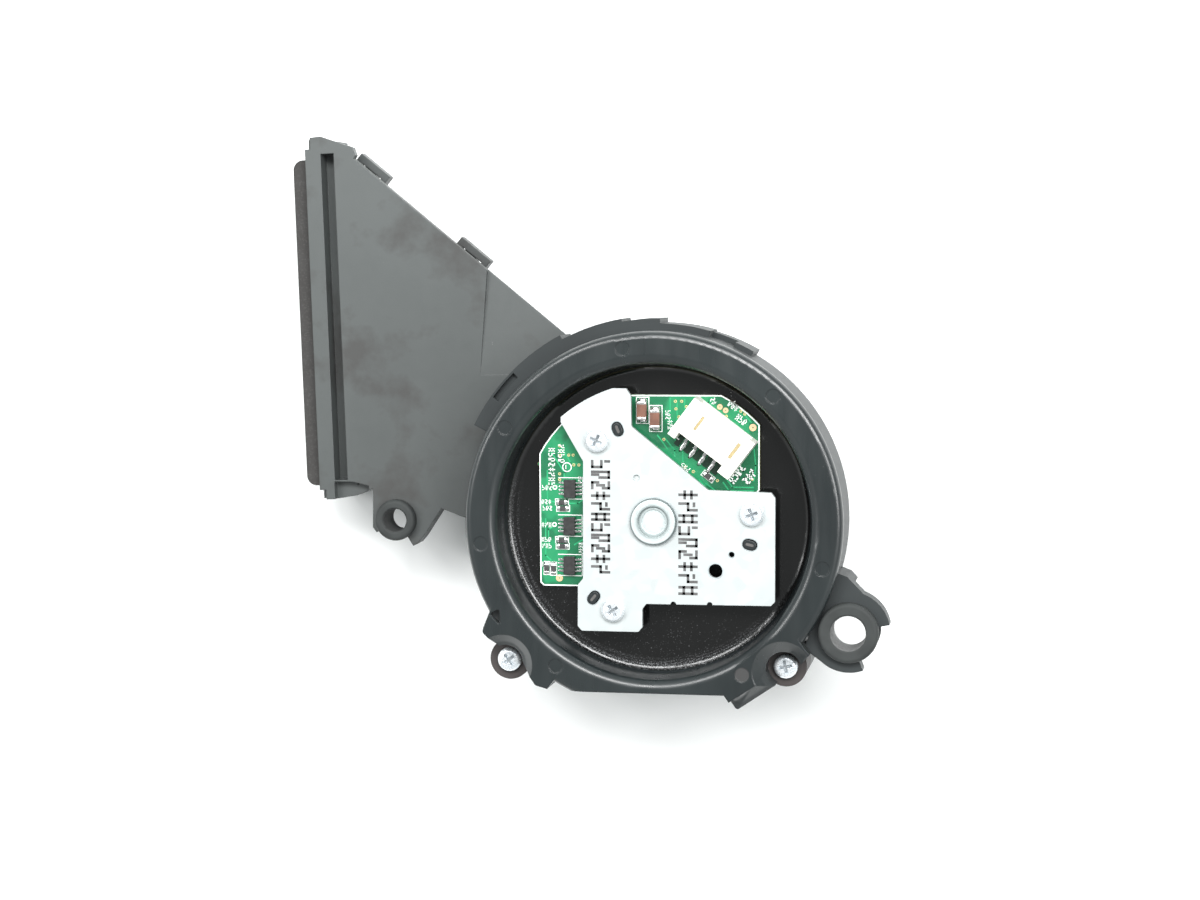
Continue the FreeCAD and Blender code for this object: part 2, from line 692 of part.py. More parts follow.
def screw(name, x, y, seat, head, rise, shank, depth, turn):
    """Pan head screw with a cross recess; seat is the height under its head."""
    loop = outline((
        (0, seat - depth), (shank * 0.6, seat - depth), (shank, seat - depth + shank), (shank, seat),
        (head, seat), (head, seat + rise, rise * 0.55), (0, seat + rise),
    ))
    lathe = turned(name + "_body", loop)
    wing = head * 0.56
    slit = head * 0.13
    crosses = [
        block(name + "_cross_%d" % arm, -wing, wing, -slit, slit,
              str(seat + rise * 0.35), str(seat + rise + 1), (0, 0), arm * 90)
        for arm in range(2)
    ]
    item = cut(name, lathe, *crosses)
    item.Placement = FreeCAD.Placement(Vector(x, y, 0), FreeCAD.Rotation(UP, turn))
    return item


def screws():
    plate = []
    for number, (degrees, turn) in enumerate(zip(POST_ANGLES, (20, 62, 35))):
        x, y = polar(size("screw_circle"), degrees)
        plate.append(screw("plate_screw_%d" % number, x, y, size("plate_top"), size("plate_head"), 1.25,
                           size("plate_shank"), 4.4, turn))
    node(group("plate_screws", plate), "plate_screws")
    long = []
    for number, ((x, y), turn) in enumerate(zip(HOUSING_SCREWS, (38, 12))):
        long.append(screw("housing_screw_%d" % number, x, y, size("ear_top"), size("housing_head"), 1.5,
                          size("housing_shank"), 14.0, turn))
    node(group("housing_screws", long), "housing_screws")


# ---- motor -----------------------------------------------------------------------------------------

def motor_plate():
    loop = outline((
        (-16.2, 17.8), (-16.2, 16.9), (-12.3, 10.2), (-12.35, -10.1), (-13.25, -11.2, 0.4),
        (-13.3, -18.4, 0.4), (-12.6, -19.2, 0.4), (-2.7, -19.2, 0.4), (-2.0, -18.4), (-2.0, -15.2, 0.5),
        (-1.3, -14.3), (20.2, -14.2), (20.9, -13.5), (20.9, 4.3), (20.2, 5.2), (9.4, 5.5, 0.6),
        (-3.9, 16.3, 0.6), (-4.0, 21.6), (-4.8, 22.8), (-7.2, 22.8), ("through", -12.2, 20.6),
    ))
    blank = prism("plate_blank", "plate_low", "plate_top", loop)
    holes = [
        cylinder("plate_centre", "holder_radius", "plate_low", "plate_top"),
        cylinder("plate_large_hole", "1.2", "plate_low", "plate_top", 10.7, -8.35),
        cylinder("plate_small_hole", "0.5", "plate_low", "plate_top", 13.45, -5.5),
        cylinder("plate_dimple", "0.6", "plate_top - 0.4", "plate_top", -3.0, 7.4),
        cylinder("plate_notch_0", "0.5", "plate_low", "plate_top", 3.4, -14.3),
        cylinder("plate_notch_1", "0.5", "plate_low", "plate_top", 9.7, -14.25),
    ]
    for number, degrees in enumerate(POST_ANGLES):
        x, y = polar(size("screw_circle"), degrees)
        holes.append(cylinder("plate_hole_%d" % number, "plate_shank + 0.25", "plate_low", "plate_top", x, y))
    for number, degrees in enumerate(PIN_ANGLES):
        holes.append(oval("plate_slot_%d" % number, degrees, 1.3, 0.95, "plate_low", "plate_top"))
    return node(cut("motor_plate", blank, *holes), "motor_plate")


def bearing_holder():
    outer = size("bearing_outer")
    tube = size("holder_radius")
    flange = size("holder_flange")
    plate = size("plate_top")
    top = size("holder_top")
    shoulder = 2.1
    low_stop = size("lower_bearing") + size("bearing_width")
    high_stop = size("upper_bearing")
    return node(turned("bearing_holder", outline((
        (outer, 16.4), (tube, 16.4), (tube, plate), (flange, plate), (flange, top, 0.35), (2.6, top, 0.15),
        (2.6, top - 0.55), (2.1, top - 0.55), (2.1, top - 0.8), (0, top - 0.8), (0, plate - 0.6),
        (outer, plate - 0.6), (outer, high_stop), (shoulder, high_stop), (shoulder, low_stop),
        (outer, low_stop),
    ))), "bearing_holder")


def bearings():
    outer = size("bearing_outer")
    width = size("bearing_width")
    shaft = size("shaft_radius")
    rings = {"bearing_outer_rings": (outer - 0.5, outer), "bearing_inner_rings": (shaft, shaft + 0.45)}
    lows = [size("lower_bearing"), size("upper_bearing")]
    for label, (inside, outside) in rings.items():
        pair = []
        for number, low in enumerate(lows):
            high = low + width
            loop = outline(((inside, low), (outside, low, 0.1), (outside, high, 0.1), (inside, high)))
            pair.append(turned("%s_%d" % (label, number), loop))
        node(group(label, pair), label)
    balls = []
    ball_radius = 0.26
    for level, low in enumerate(lows):
        for number in range(8):
            ball = doc.addObject("Part::Sphere", "ball_%d_%d" % (level, number))
            ball.Radius = ball_radius
            x, y = polar(outer - 0.5 - ball_radius, number * 45)
            ball.Placement.Base = Vector(x, y, low + width / 2)
            balls.append(ball)
    node(group("bearing_balls", balls), "bearing_balls")


def shaft_pieces():
    low = size("cup_low")
    radius = size("shaft_radius")
    top = size("upper_bearing") + size("bearing_width") + 0.6
    body = new_body("shaft")
    section = body_sketch(body, "shaft_circle", ring_of(radius), height="cup_low")
    pad(body, "shaft_pad", section, str(top - low))
    node(body, "shaft")
    clip_low = size("upper_bearing") + size("bearing_width")
    clip = prism("retaining_clip", str(clip_low), str(clip_low + 0.35), ring_of(1.9), ring_of(radius))
    node(clip, "retaining_clip")
    spring = prism("preload_spring", "cup_low + cup_wall + 0.8", "lower_bearing",
                   ring_of(1.42), ring_of(radius))
    node(spring, "preload_spring")


def rotor():
    radius = size("cup_radius")
    wall = size("cup_wall")
    low = size("cup_low")
    high = size("cup_high")
    shaft = size("shaft_radius")
    node(turned("rotor_cup", outline((
        (shaft, low), (radius, low, 0.9), (radius, high), (radius - wall, high),
        (radius - wall, low + wall, 0.4), (2.2, low + wall), (2.2, low + wall + 0.8),
        (shaft, low + wall + 0.8),
    ))), "rotor_cup")
    magnet = prism("rotor_magnet", "core_low - 1", "core_high + 1", ring_of(radius - wall),
                   ring_of(size("magnet_inner")))
    node(magnet, "rotor_magnet")


def spider(label, low, high, half_wide):
    """Hub and nine T-shaped teeth of the stator, between two heights."""
    body = new_body(label)
    yoke = body_sketch(body, label + "_yoke", ring_of(5.2), ring_of(size("holder_radius")), height=low)
    pad(body, label + "_hub", yoke, "(%s) - (%s)" % (high, low))
    face = size("core_radius")
    tooth = outline((
        (4.9, -half_wide), (7.6, -half_wide), polar(7.75, -15), polar(face, -17), ("through", face, 0),
        polar(face, 17), polar(7.75, 15), (7.6, half_wide), (4.9, half_wide),
    ))
    arm = pad(body, label + "_tooth", body_sketch(body, label + "_arm", tooth, height=low),
              "(%s) - (%s)" % (high, low))
    doc.recompute()
    around(body, label + "_teeth", arm, 9)
    return body


def stator():
    half_tooth = 0.8
    node(spider("stator_core", "core_low", "core_high", half_tooth), "stator_core")
    caps = [
        spider("insulator_low", "core_low - insulator", "core_low", half_tooth),
        spider("insulator_high", "core_high", "core_high + insulator", half_tooth),
    ]
    node(group("stator_insulator", caps), "stator_insulator")
    coils = []
    for number in range(9):
        turn = number * 40
        wound = block("coil_%d" % number, 5.5, 7.4, -1.45, 1.45, "core_low - insulator - 0.6",
                      "core_high + insulator + 0.6", (0, 0), turn)
        core = block("coil_core_%d" % number, 5.0, 8.0, -half_tooth, half_tooth, "core_low - insulator",
                     "core_high + insulator", (0, 0), turn)
        coils.append(cut("winding_%d" % number, wound, core))
    node(group("stator_windings", coils), "stator_windings")


# ---- impeller --------------------------------------------------------------------------------------

BLADES = 11


def blade_outline():
    """One backward-curved blade in plan, bulging forwards between its root and its tip."""
    half = size("blade_thick") / 2
    tip = size("impeller_radius")
    root = 14.0
    inner = []
    for side in (-half, half):
        middle = polar((root + tip) / 2, -13 + side * 2.9)
        inner.append([polar(root, side * 4), middle, polar(tip, -34 + side * 2.2)])
    front, back = inner
    return outline((front[0], ("through", *front[1]), front[2], back[2], ("through", *back[1]), back[0]))


def impeller():
    body = new_body("impeller")
    hub = outline((
        (2.4, size("hub_low")), (size("hub_radius"), size("hub_low"), 1.6),
        (size("hub_radius"), size("backplate_low"), 0.8), (size("impeller_radius"), size("backplate_low")),
        (size("impeller_radius"), size("backplate_top")), (size("cup_radius"), size("backplate_top")),
        (size("cup_radius"), size("cup_low"), 0.9), (2.4, size("cup_low")),
    ))
    section = body_sketch(body, "hub_section", hub, role="XZ_Plane")
    lathe = body.newObject("PartDesign::Revolution", "hub_revolution")
    lathe.Profile = section
    lathe.ReferenceAxis = (section, ["V_Axis"])
    lathe.Angle = 360
    blade = pad(body, "blade", body_sketch(body, "blade_plan", blade_outline(), height="blade_low"),
                "backplate_low - blade_low")
    doc.recompute()
    around(body, "blades", blade, BLADES)
    node(body, "impeller")
    shroud = prism("impeller_shroud", "blade_low - shroud_thick", "blade_low",
                   ring_of(size("impeller_radius")), ring_of(size("shroud_eye")))
    node(shroud, "impeller_shroud")


# ---- circuit board and its components --------------------------------------------------------------

def circuit_board():
    loop = outline((
        (-20.5, -11.3), (-19.9, -11.9), (2.0, -11.9), (9.0, -5.0), (9.0, 4.5), (17.1, 4.5), (17.9, 5.3),
        (17.9, 16.6), ("through", *polar(24.4, 52.5)), (11.2, 21.6), (-9.2, 21.6),
        ("through", *polar(23.45, 132)), (-20.5, 11.1),
    ))
    blank = prism("board_blank", "board_low", "board_top", loop)
    post = polar(size("screw_circle"), POST_ANGLES[1])
    pin = polar(size("screw_circle"), PIN_ANGLES[1])
    holes = [
        cylinder("board_centre", "holder_radius + 0.4", "board_low", "board_top"),
        cylinder("board_post", "post_radius + 0.2", "board_low", "board_top", *post),
        cylinder("board_pin", "1.7", "board_low", "board_top", *pin),
    ]
    return node(cut("circuit_board", blank, *holes), "circuit_board")


TRANSISTORS = ((-15.1, 5.2), (-15.2, -1.3), (-15.2, -8.2))


def transistors():
    bodies = []
    leads = []
    for number, (x, y) in enumerate(TRANSISTORS):
        bodies.append(block("transistor_%d" % number, -0.98, 0.98, -1.55, 1.55, "board_top + 0.1",
                            "board_top + 1.05", (x, y)))
        for side in (-1, 1):
            for step in range(4):
                along = -0.975 + 0.65 * step
                name = "lead_%d_%d_%d" % (number, side + 1, step)
                near, far = sorted((side * 0.98, side * 1.35))
                shoulder = block(name + "_a", near, far, along - 0.15, along + 0.15, "board_top + 0.35",
                                 "board_top + 0.5", (x, y))
                near, far = sorted((side * 1.2, side * 1.35))
                riser = block(name + "_b", near, far, along - 0.15, along + 0.15, "board_top",
                              "board_top + 0.5", (x, y))
                near, far = sorted((side * 1.2, side * 1.92))
                foot = block(name + "_c", near, far, along - 0.15, along + 0.15, "board_top",
                             "board_top + 0.15", (x, y))
                leads.append(fuse(name, shoulder, riser, foot))
    node(group("power_transistors", bodies), "power_transistors")
    node(group("transistor_leads", leads), "transistor_leads")


def chips():
    capacitors = [
        block("capacitor_%d" % number, -0.8, 0.8, -1.6, 1.6, "board_top", "board_top + 1.6", place_at)
        for number, place_at in enumerate(((-2.4, 18.9), (-0.1, 17.5)))
    ]
    node(group("bulk_capacitors", capacitors), "bulk_capacitors")
    passives = (
        (-16.6, 2.8, 0), (-16.4, 1.7, 0), (-16.6, -3.8, 0), (-16.5, -4.9, 0), (-19.3, -8.8, 90),
        (-18.1, -8.9, 90), (9.0, 7.6, -37),
    )
    small = [
        block("passive_%d" % number, -0.75, 0.75, -0.4, 0.4, "board_top", "board_top + 0.45", (x, y), turn)
        for number, (x, y, turn) in enumerate(passives)
    ]
    node(group("chip_passives", small), "chip_passives")
    chip = block("driver_chip", -2.5, 2.5, -2.5, 2.5, "board_top", "board_top + 0.9", (-6.5, -6.5))
    node(chip, "driver_chip")


def connector():
    """Four-way side-entry header: its mouth faces away from its contacts' solder feet."""
    def local(name, u0, u1, v0, v1, low, high):
        return block(name, u0, u1, v0, v1, low, high, CONNECTOR, CONNECTOR_TURN)
    shell = local("connector_block", -6.45, 6.45, -3.85, 3.85, "board_top", "connector_top")
    tools = [
        local("connector_mouth", -5.3, 5.3, -1.4, 5, "board_top + 0.9", "connector_top - 0.9"),
        local("connector_back", -5.0, 4.2, -5, -2.5, "board_top", "connector_top + 1"),
        local("connector_slot_0", -3.45, -2.95, -0.6, 2.2, "connector_top - 0.9", "connector_top"),
        local("connector_slot_1", 4.1, 4.7, -0.8, 2.3, "connector_top - 0.9", "connector_top"),
    ]
    contacts = []
    for number in range(4):
        u = -3.4 + 2.0 * number
        half = 0.25
        tools.append(local("connector_hole_%d" % number, u - half, u + half, -3, -1, "board_top + 2.4",
                           "board_top + 2.9"))
        contacts.append(fuse(
            "contact_%d" % number,
            local("contact_pin_%d" % number, u - half, u + half, -3.2, 2.6, "board_top + 2.4",
                  "board_top + 2.9"),
            local("contact_drop_%d" % number, u - half, u + half, -3.6, -3.1, "board_top", "board_top + 2.9"),
            local("contact_foot_%d" % number, u - half, u + half, -5.2, -3.1, "board_top", "board_top + 0.3"),
        ))
    node(cut("connector_housing", shell, *tools), "connector_housing")
    node(group("connector_contacts", contacts), "connector_contacts")


# ---- build, check, write ---------------------------------------------------------------------------

duct_cover()
duct_body()
fan_casing()
inlet_bellmouth()
mouth_seal()
motor_housing()
grommet("grommet_right", "big", "big_high", BIG_GROMMET)
grommet("grommet_left", "small", "duct_top", SMALL_GROMMET)
screws()
motor_plate()
bearing_holder()
bearings()
shaft_pieces()
rotor()
stator()
impeller()
circuit_board()
transistors()
chips()
connector()
doc.recompute()

for item in doc.Objects:
    if {"Invalid", "Error"} & set(item.State):
        raise RuntimeError("%s failed: %s" % (item.Name, item.State))
os.makedirs("parts", exist_ok=True)
for item in NODES:
    shape = item.Shape
    if shape.isNull() or not shape.isValid():
        raise RuntimeError(item.Label + " has no valid shape")
    shape.exportStep(os.path.join("parts", item.Label + ".step"))
    print("%-22s %2d solids %10.2f mm3" % (item.Label, len(shape.Solids), shape.Volume))
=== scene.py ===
import json
import math

import bmesh
import bpy
from mathutils import Matrix, Vector


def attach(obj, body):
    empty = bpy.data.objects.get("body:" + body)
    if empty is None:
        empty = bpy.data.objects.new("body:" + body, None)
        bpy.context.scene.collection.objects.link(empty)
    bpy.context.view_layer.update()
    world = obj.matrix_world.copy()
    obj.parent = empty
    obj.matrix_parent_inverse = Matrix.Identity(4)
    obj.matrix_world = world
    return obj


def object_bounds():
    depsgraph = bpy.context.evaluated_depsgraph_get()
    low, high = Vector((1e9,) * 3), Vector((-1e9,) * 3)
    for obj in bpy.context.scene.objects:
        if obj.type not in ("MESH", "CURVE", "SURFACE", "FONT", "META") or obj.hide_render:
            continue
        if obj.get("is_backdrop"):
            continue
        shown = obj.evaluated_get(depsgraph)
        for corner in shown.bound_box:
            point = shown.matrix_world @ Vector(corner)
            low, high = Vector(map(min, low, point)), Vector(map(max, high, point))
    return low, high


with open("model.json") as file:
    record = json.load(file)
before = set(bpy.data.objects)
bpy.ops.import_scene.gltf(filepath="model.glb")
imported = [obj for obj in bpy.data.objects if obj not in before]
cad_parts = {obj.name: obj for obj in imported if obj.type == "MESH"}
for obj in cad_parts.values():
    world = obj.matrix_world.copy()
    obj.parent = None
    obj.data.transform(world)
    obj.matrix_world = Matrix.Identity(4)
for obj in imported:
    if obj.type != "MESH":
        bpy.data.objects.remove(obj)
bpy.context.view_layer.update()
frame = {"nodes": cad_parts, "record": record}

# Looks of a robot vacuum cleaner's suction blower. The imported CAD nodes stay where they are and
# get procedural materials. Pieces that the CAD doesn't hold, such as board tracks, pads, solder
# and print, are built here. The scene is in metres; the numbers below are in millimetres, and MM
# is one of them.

MM = 0.001


# ---- places on the object, from the CAD ----

BOARD_TOP = 28.1
PLATE_TOP = 31.2
PIN_TOP = 31.5
CONNECTOR_TOP = 33.6
CONNECTOR = (10.2, 14.5)
CONNECTOR_TURN = -37.0
# Places of the connector's contacts along it.
CONTACTS = (-3.4, -1.4, 0.6, 2.6)
TRANSISTORS = ((-15.1, 5.2), (-15.2, -1.3), (-15.2, -8.2))
CAPACITORS = ((-2.4, 18.9), (-0.1, 17.5))
# Place and turn of each chip passive.
PASSIVES = (
    (-16.6, 2.8, 0), (-16.4, 1.7, 0), (-16.6, -3.8, 0), (-16.5, -4.9, 0), (-19.3, -8.8, 90),
    (-18.1, -8.9, 90), (9.0, 7.6, CONNECTOR_TURN),
)
# Radius that the plate's slots lie on, and the direction of each slot from the fan axis.
SLOT_CIRCLE = 17.0
SLOTS = (-12.7, 111.6, 231.9)
BIG_GROMMET = (33.5, -18.4)
SMALL_GROMMET = (-48.8, -1.8)
HOUSING_SCREWS = ((-26.0, -25.0), (22.5, -25.0))
RING_MARK = (15.6, -25.7)


# ---- node-tree helpers ----

class Surface:
    def __init__(self, name):
        self.material = bpy.data.materials.new(name)
        self.material.use_nodes = True
        self.tree = self.material.node_tree
        self.shader = self.tree.nodes["Principled BSDF"]
        self.place = self.tree.nodes.new("ShaderNodeTexCoord").outputs["Object"]

    def set(self, **values):
        """Set sockets of the shader: an underscore stands for a space."""
        for name, value in values.items():
            self.shader.inputs[name.replace("_", " ")].default_value = value
        return self

    def feed(self, socket, value):
        """Link or set a socket, whichever the value calls for."""
        if isinstance(value, bpy.types.NodeSocket):
            self.tree.links.new(value, socket)
        else:
            socket.default_value = value

    def add(self, kind, inputs=(), **settings):
        """New node with its settings, and with its inputs linked or set."""
        node = self.tree.nodes.new(kind)
        for name, value in settings.items():
            setattr(node, name, value)
        for key, value in dict(inputs).items():
            self.feed(node.inputs[key], value)
        return node

    def math(self, operation, a, b=0.0):
        return self.add("ShaderNodeMath", {0: a, 1: b}, operation=operation).outputs[0]

    def times(self, a, b):
        """Product, such as the share of the surface that two masks have in common."""
        return self.math("MULTIPLY", a, b)

    def noise(self, scale, detail, rough=0.5, where=None):
        """Noise whose scale is in features per millimetre."""
        inputs = {"Vector": where or self.place, "Scale": scale / MM,
                  "Detail": detail, "Roughness": rough}
        return self.add("ShaderNodeTexNoise", inputs).outputs["Fac"]

    def stretched(self, x, y, z):
        """The object's coordinates, squeezed along some axes so that noise turns into streaks."""
        return self.add("ShaderNodeMapping", {"Vector": self.place, "Scale": (x, y, z)}).outputs[0]

    def ramp(self, fac, low, high, start=0.0, stop=1.0):
        """Map fac from low..high to start..stop, clamped."""
        inputs = {"Value": fac, "From Min": low, "From Max": high, "To Min": start, "To Max": stop}
        return self.add("ShaderNodeMapRange", inputs).outputs[0]

    def below(self, fac, low, high, most=1.0):
        """Mask that is full under low and fades out towards high."""
        return self.ramp(fac, low, high, most, 0.0)

    def between(self, fac, low, full, fading, high):
        """Mask that is full from full to fading, and fades out towards low and high."""
        return self.times(self.ramp(fac, low, full), self.below(fac, fading, high))

    def uneven(self, scale, detail, low, high):
        """Value that wanders from low to high over the surface, such as a roughness."""
        return self.ramp(self.noise(scale, detail), 0.3, 0.7, low, high)

    def mix(self, fac, a, b):
        """Colour a where fac is 0 and b where it is 1; 6 and 7 are the node's colour sockets."""
        node = self.add("ShaderNodeMix", {0: fac, 6: a, 7: b}, data_type="RGBA")
        return node.outputs[2]

    def cloudy(self, noise, dark, light):
        """Colour that drifts between two others with the noise."""
        return self.mix(self.ramp(noise, 0.35, 0.65), dark, light)

    def axes(self):
        """X, Y and Z of the place on the object, in millimetres."""
        parts = self.add("ShaderNodeSeparateXYZ", {0: self.place}).outputs
        return [self.math("DIVIDE", part, MM) for part in parts]

    def radius(self, x0=0.0, y0=0.0):
        """Distance in millimetres from an upright axis through x0, y0."""
        x, y = self.axes()[:2]
        dx = self.math("SUBTRACT", x, x0)
        dy = self.math("SUBTRACT", y, y0)
        return self.math("SQRT", self.math("ADD", self.times(dx, dx), self.times(dy, dy)))

    def off(self, value, centre):
        """How far the value is from the centre, on either side."""
        return self.math("ABSOLUTE", self.math("SUBTRACT", value, centre))

    def polar(self):
        """Place as (radius, angle, height), for streaks that run round the fan axis."""
        x, y, z = self.axes()
        angle = self.math("ARCTAN2", y, x)
        return self.add("ShaderNodeCombineXYZ", {0: self.radius(), 1: angle, 2: z}).outputs[0]

    def finish(self, color, rough=None, bump=None, bump_depth=0.02, edge=0.0):
        """Plug colour, roughness and bump in; edge is the radius that sharp edges show."""
        self.feed(self.shader.inputs["Base Color"], color)
        if rough is not None:
            self.feed(self.shader.inputs["Roughness"], rough)
        normal = None
        if edge:
            normal = self.add("ShaderNodeBevel", {"Radius": edge * MM}, samples=4).outputs[0]
        if bump is not None:
            inputs = {"Height": bump, "Strength": 1.0, "Distance": bump_depth * MM}
            if normal is not None:
                inputs["Normal"] = normal
            normal = self.add("ShaderNodeBump", inputs).outputs[0]
        if normal is not None:
            self.feed(self.shader.inputs["Normal"], normal)
        return self.material


def grey(level, warm=0.0):
    """Grey of that level, redder where warm is above zero and bluer where it is below."""
    return (level * (1 + warm), level, level * (1 - warm), 1.0)


def cool(level):
    """Grey with a little green and blue in it."""
    return (level * 0.90, level, level * 0.985, 1.0)


# ---- materials ----

def speckled(surface, base, dust, density):
    """Base colour with scattered dust specks; density shifts their share of the surface."""
    size = 0.10
    cells = surface.add("ShaderNodeTexVoronoi", {"Vector": surface.place,
                                                 "Scale": 1 / (size * 6 * MM)})
    speck = surface.below(cells.outputs["Distance"], 0.10, 0.16)
    patch = surface.ramp(surface.noise(0.12, 2), 0.62 - density, 0.70 - density)
    return surface.mix(surface.times(speck, patch), base, dust)


def housing_black():
    """Polished moulding: soft flow marks, painted shade on the recess floor, rubbed dust on its
    edge and specks.
    """
    s = Surface("housing_black").set(Specular_IOR_Level=0.6, Coat_Weight=0.22, Coat_Roughness=0.24)
    x, y, z = s.axes()
    reach = s.radius()
    base = s.cloudy(s.noise(0.05, 3), (0.009, 0.0125, 0.0135, 1), (0.015, 0.020, 0.021, 1))
    # Painted shade: the floor of the recess is darkened to near black.
    recess = s.times(s.below(reach, 26.4, 26.8), s.below(z, 26.9, 27.4))
    base = s.mix(recess, base, grey(0.004))
    ring_mark = s.times(s.below(s.radius(*RING_MARK), 1.2, 1.3), s.ramp(z, 33.7, 33.8))
    base = s.mix(ring_mark, base, grey(0.045))
    seats = s.math("MAXIMUM", *[s.below(s.radius(*place), 3.62, 3.68) for place in HOUSING_SCREWS])
    base = s.mix(s.times(seats, s.below(z, 27.6, 27.7)), base, (0.034, 0.028, 0.027, 1))
    around = s.add("ShaderNodeVectorMath", {0: s.polar(), 1: (5 * MM, 1.2 * MM, 3 * MM)},
                   operation="MULTIPLY")
    streak = s.noise(0.9, 5, 0.65, around.outputs[0])
    band = s.between(reach, 24.2, 25.9, 26.3, 26.6)
    side = s.ramp(s.math("ADD", s.times(y, -1.0), s.times(x, -0.45)), 2.0, 20.0)
    floor = s.between(z, 26.2, 26.4, 27.0, 27.6)
    crumbs = s.times(s.ramp(streak, 0.42, 0.56), s.ramp(s.noise(4.0, 3, 0.75), 0.50, 0.60))
    rubbed = s.times(s.times(band, side), s.times(floor, crumbs))
    grit = s.times(s.ramp(s.noise(3.6, 3, 0.7), 0.64, 0.69), s.times(floor, side))
    dusty = s.math("MAXIMUM", s.times(rubbed, 0.40), s.times(grit, 0.15))
    base = s.mix(dusty, base, grey(0.60, -0.03))
    base = speckled(s, base, grey(0.22), -0.04)
    scuff = s.noise(0.35, 4, 0.6, s.stretched(1, 0.12, 1))
    rough = s.math("ADD", s.ramp(scuff, 0.3, 0.75, 0.25, 0.36), s.times(dusty, 0.5))
    rough = s.math("SUBTRACT", rough, s.times(recess, 0.16))
    outer_wall = s.times(s.ramp(reach, 31.9, 32.4), s.below(z, 32.4, 33.2))
    rough = s.math("MAXIMUM", rough, s.times(outer_wall, 0.80))
    height = s.math("ADD", s.times(s.noise(2.2, 4, 0.6), 0.10), s.times(s.noise(0.10, 2), 0.8))
    return s.finish(base, rough, height, 0.004, 0.30)


def duct_grey(name="duct_grey", level=0.064):
    """Satin moulded plastic: fine spark-eroded grain, broad flow marks and handling smears."""
    s = Surface(name).set(Specular_IOR_Level=0.5)
    flow = s.noise(0.030, 3, 0.5, s.stretched(1.0, 0.45, 1.0))
    base = s.mix(s.ramp(flow, 0.3, 0.7), cool(level * 0.84), cool(level * 1.14))
    # Painted light: the plastic grows lighter towards +y, the side of the lamps.
    base = s.mix(s.ramp(s.axes()[1], 5.0, 62.0, 0.0, 0.35), base, cool(level * 1.5))
    smear = s.noise(0.055, 5, 0.6)
    base = s.mix(s.ramp(smear, 0.52, 0.64, 0.0, 0.70), base, grey(level * 0.48, 0.05))
    base = speckled(s, base, grey(level * 2.4), -0.06)
    rough = s.math("ADD", s.ramp(smear, 0.35, 0.7, 0.40, 0.50), s.uneven(0.6, 3, -0.02, 0.02))
    grain = s.math("ADD", s.times(s.noise(4.5, 2), 0.8), s.noise(0.07, 2))
    return s.finish(base, rough, grain, 0.010, 0.25)


def seal_rubber():
    """Black rubber with a thin powder on it."""
    s = Surface("seal_rubber").set(Specular_IOR_Level=0.3)
    tone = s.noise(0.25, 4)
    base = s.cloudy(tone, grey(0.030, 0.05), grey(0.0405, 0.03))
    powder = s.ramp(s.noise(3.0, 4, 0.65), 0.52, 0.66, 0.0, 0.05)
    base = s.mix(powder, base, grey(0.4))
    rough = s.ramp(tone, 0.3, 0.7, 0.62, 0.78)
    return s.finish(base, rough, s.noise(6.0, 3), 0.012, 0.15)


def grommet_rubber():
    """Dull rubber, powdered white inside the bores."""
    s = Surface("grommet_rubber").set(Specular_IOR_Level=0.3)
    tone = s.noise(0.3, 4)
    base = s.cloudy(tone, cool(0.028), cool(0.040))
    big = s.below(s.radius(*BIG_GROMMET), 3.0, 3.1)
    small = s.below(s.radius(*SMALL_GROMMET), 2.14, 2.2)
    powder = s.ramp(s.noise(2.0, 4, 0.6), 0.30, 0.70, 0.20, 0.42)
    inside = s.math("MAXIMUM", big, s.times(small, 0.25))
    base = s.mix(s.times(inside, powder), base, grey(0.45))
    return s.finish(base, s.ramp(tone, 0.3, 0.7, 0.6, 0.75), s.noise(5.0, 3), 0.015, 0.12)


def metal(name, color, rough, brushed=False, metallic=1.0, edge=0.1, spots=0.0):
    """Bare metal with a fine grain; brushed turns the grain into marks along X."""
    s = Surface(name).set(Metallic=metallic)
    grain = s.noise(3.0, 4, 0.6, s.stretched(0.15 if brushed else 1.0, 1.0, 1.0))
    dark = tuple(c * 0.86 for c in color) + (1.0,)
    base = s.cloudy(s.noise(0.35, 3), dark, color + (1.0,))
    if spots:
        base = s.mix(s.ramp(s.noise(1.1, 4, 0.7), 0.64, 0.70, 0.0, spots), base, grey(0.25))
    return s.finish(base, s.ramp(grain, 0.3, 0.7, rough * 0.75, rough * 1.3), grain, 0.008, edge)


def screw_steel():
    """Bright zinc, with painted shade on the floor of each drive recess and grime in specks
    elsewhere.
    """
    s = Surface("screw_steel").set(Metallic=0.7)
    z = s.axes()[2]
    # Painted shade: masks of the drive recess floors, which are darkened below.
    housing_recess = s.between(z, 27.97, 28.0, 28.10, 28.16)
    plate_recess = s.between(z, 31.56, 31.6, 31.70, 31.76)
    base = s.cloudy(s.noise(0.7, 4), (0.80, 0.85, 0.89, 1), (0.92, 0.95, 0.97, 1))
    recess = s.math("MAXIMUM", housing_recess, plate_recess)
    base = s.mix(s.times(recess, 0.60), base, (0.20, 0.23, 0.25, 1))
    base = s.mix(s.ramp(s.noise(1.6, 4, 0.7), 0.62, 0.70, 0.0, 0.4), base, (0.30, 0.36, 0.42, 1))
    grain = s.noise(3.0, 4, 0.6)
    return s.finish(base, s.ramp(grain, 0.3, 0.7, 0.22, 0.36), grain, 0.012, 0.10)


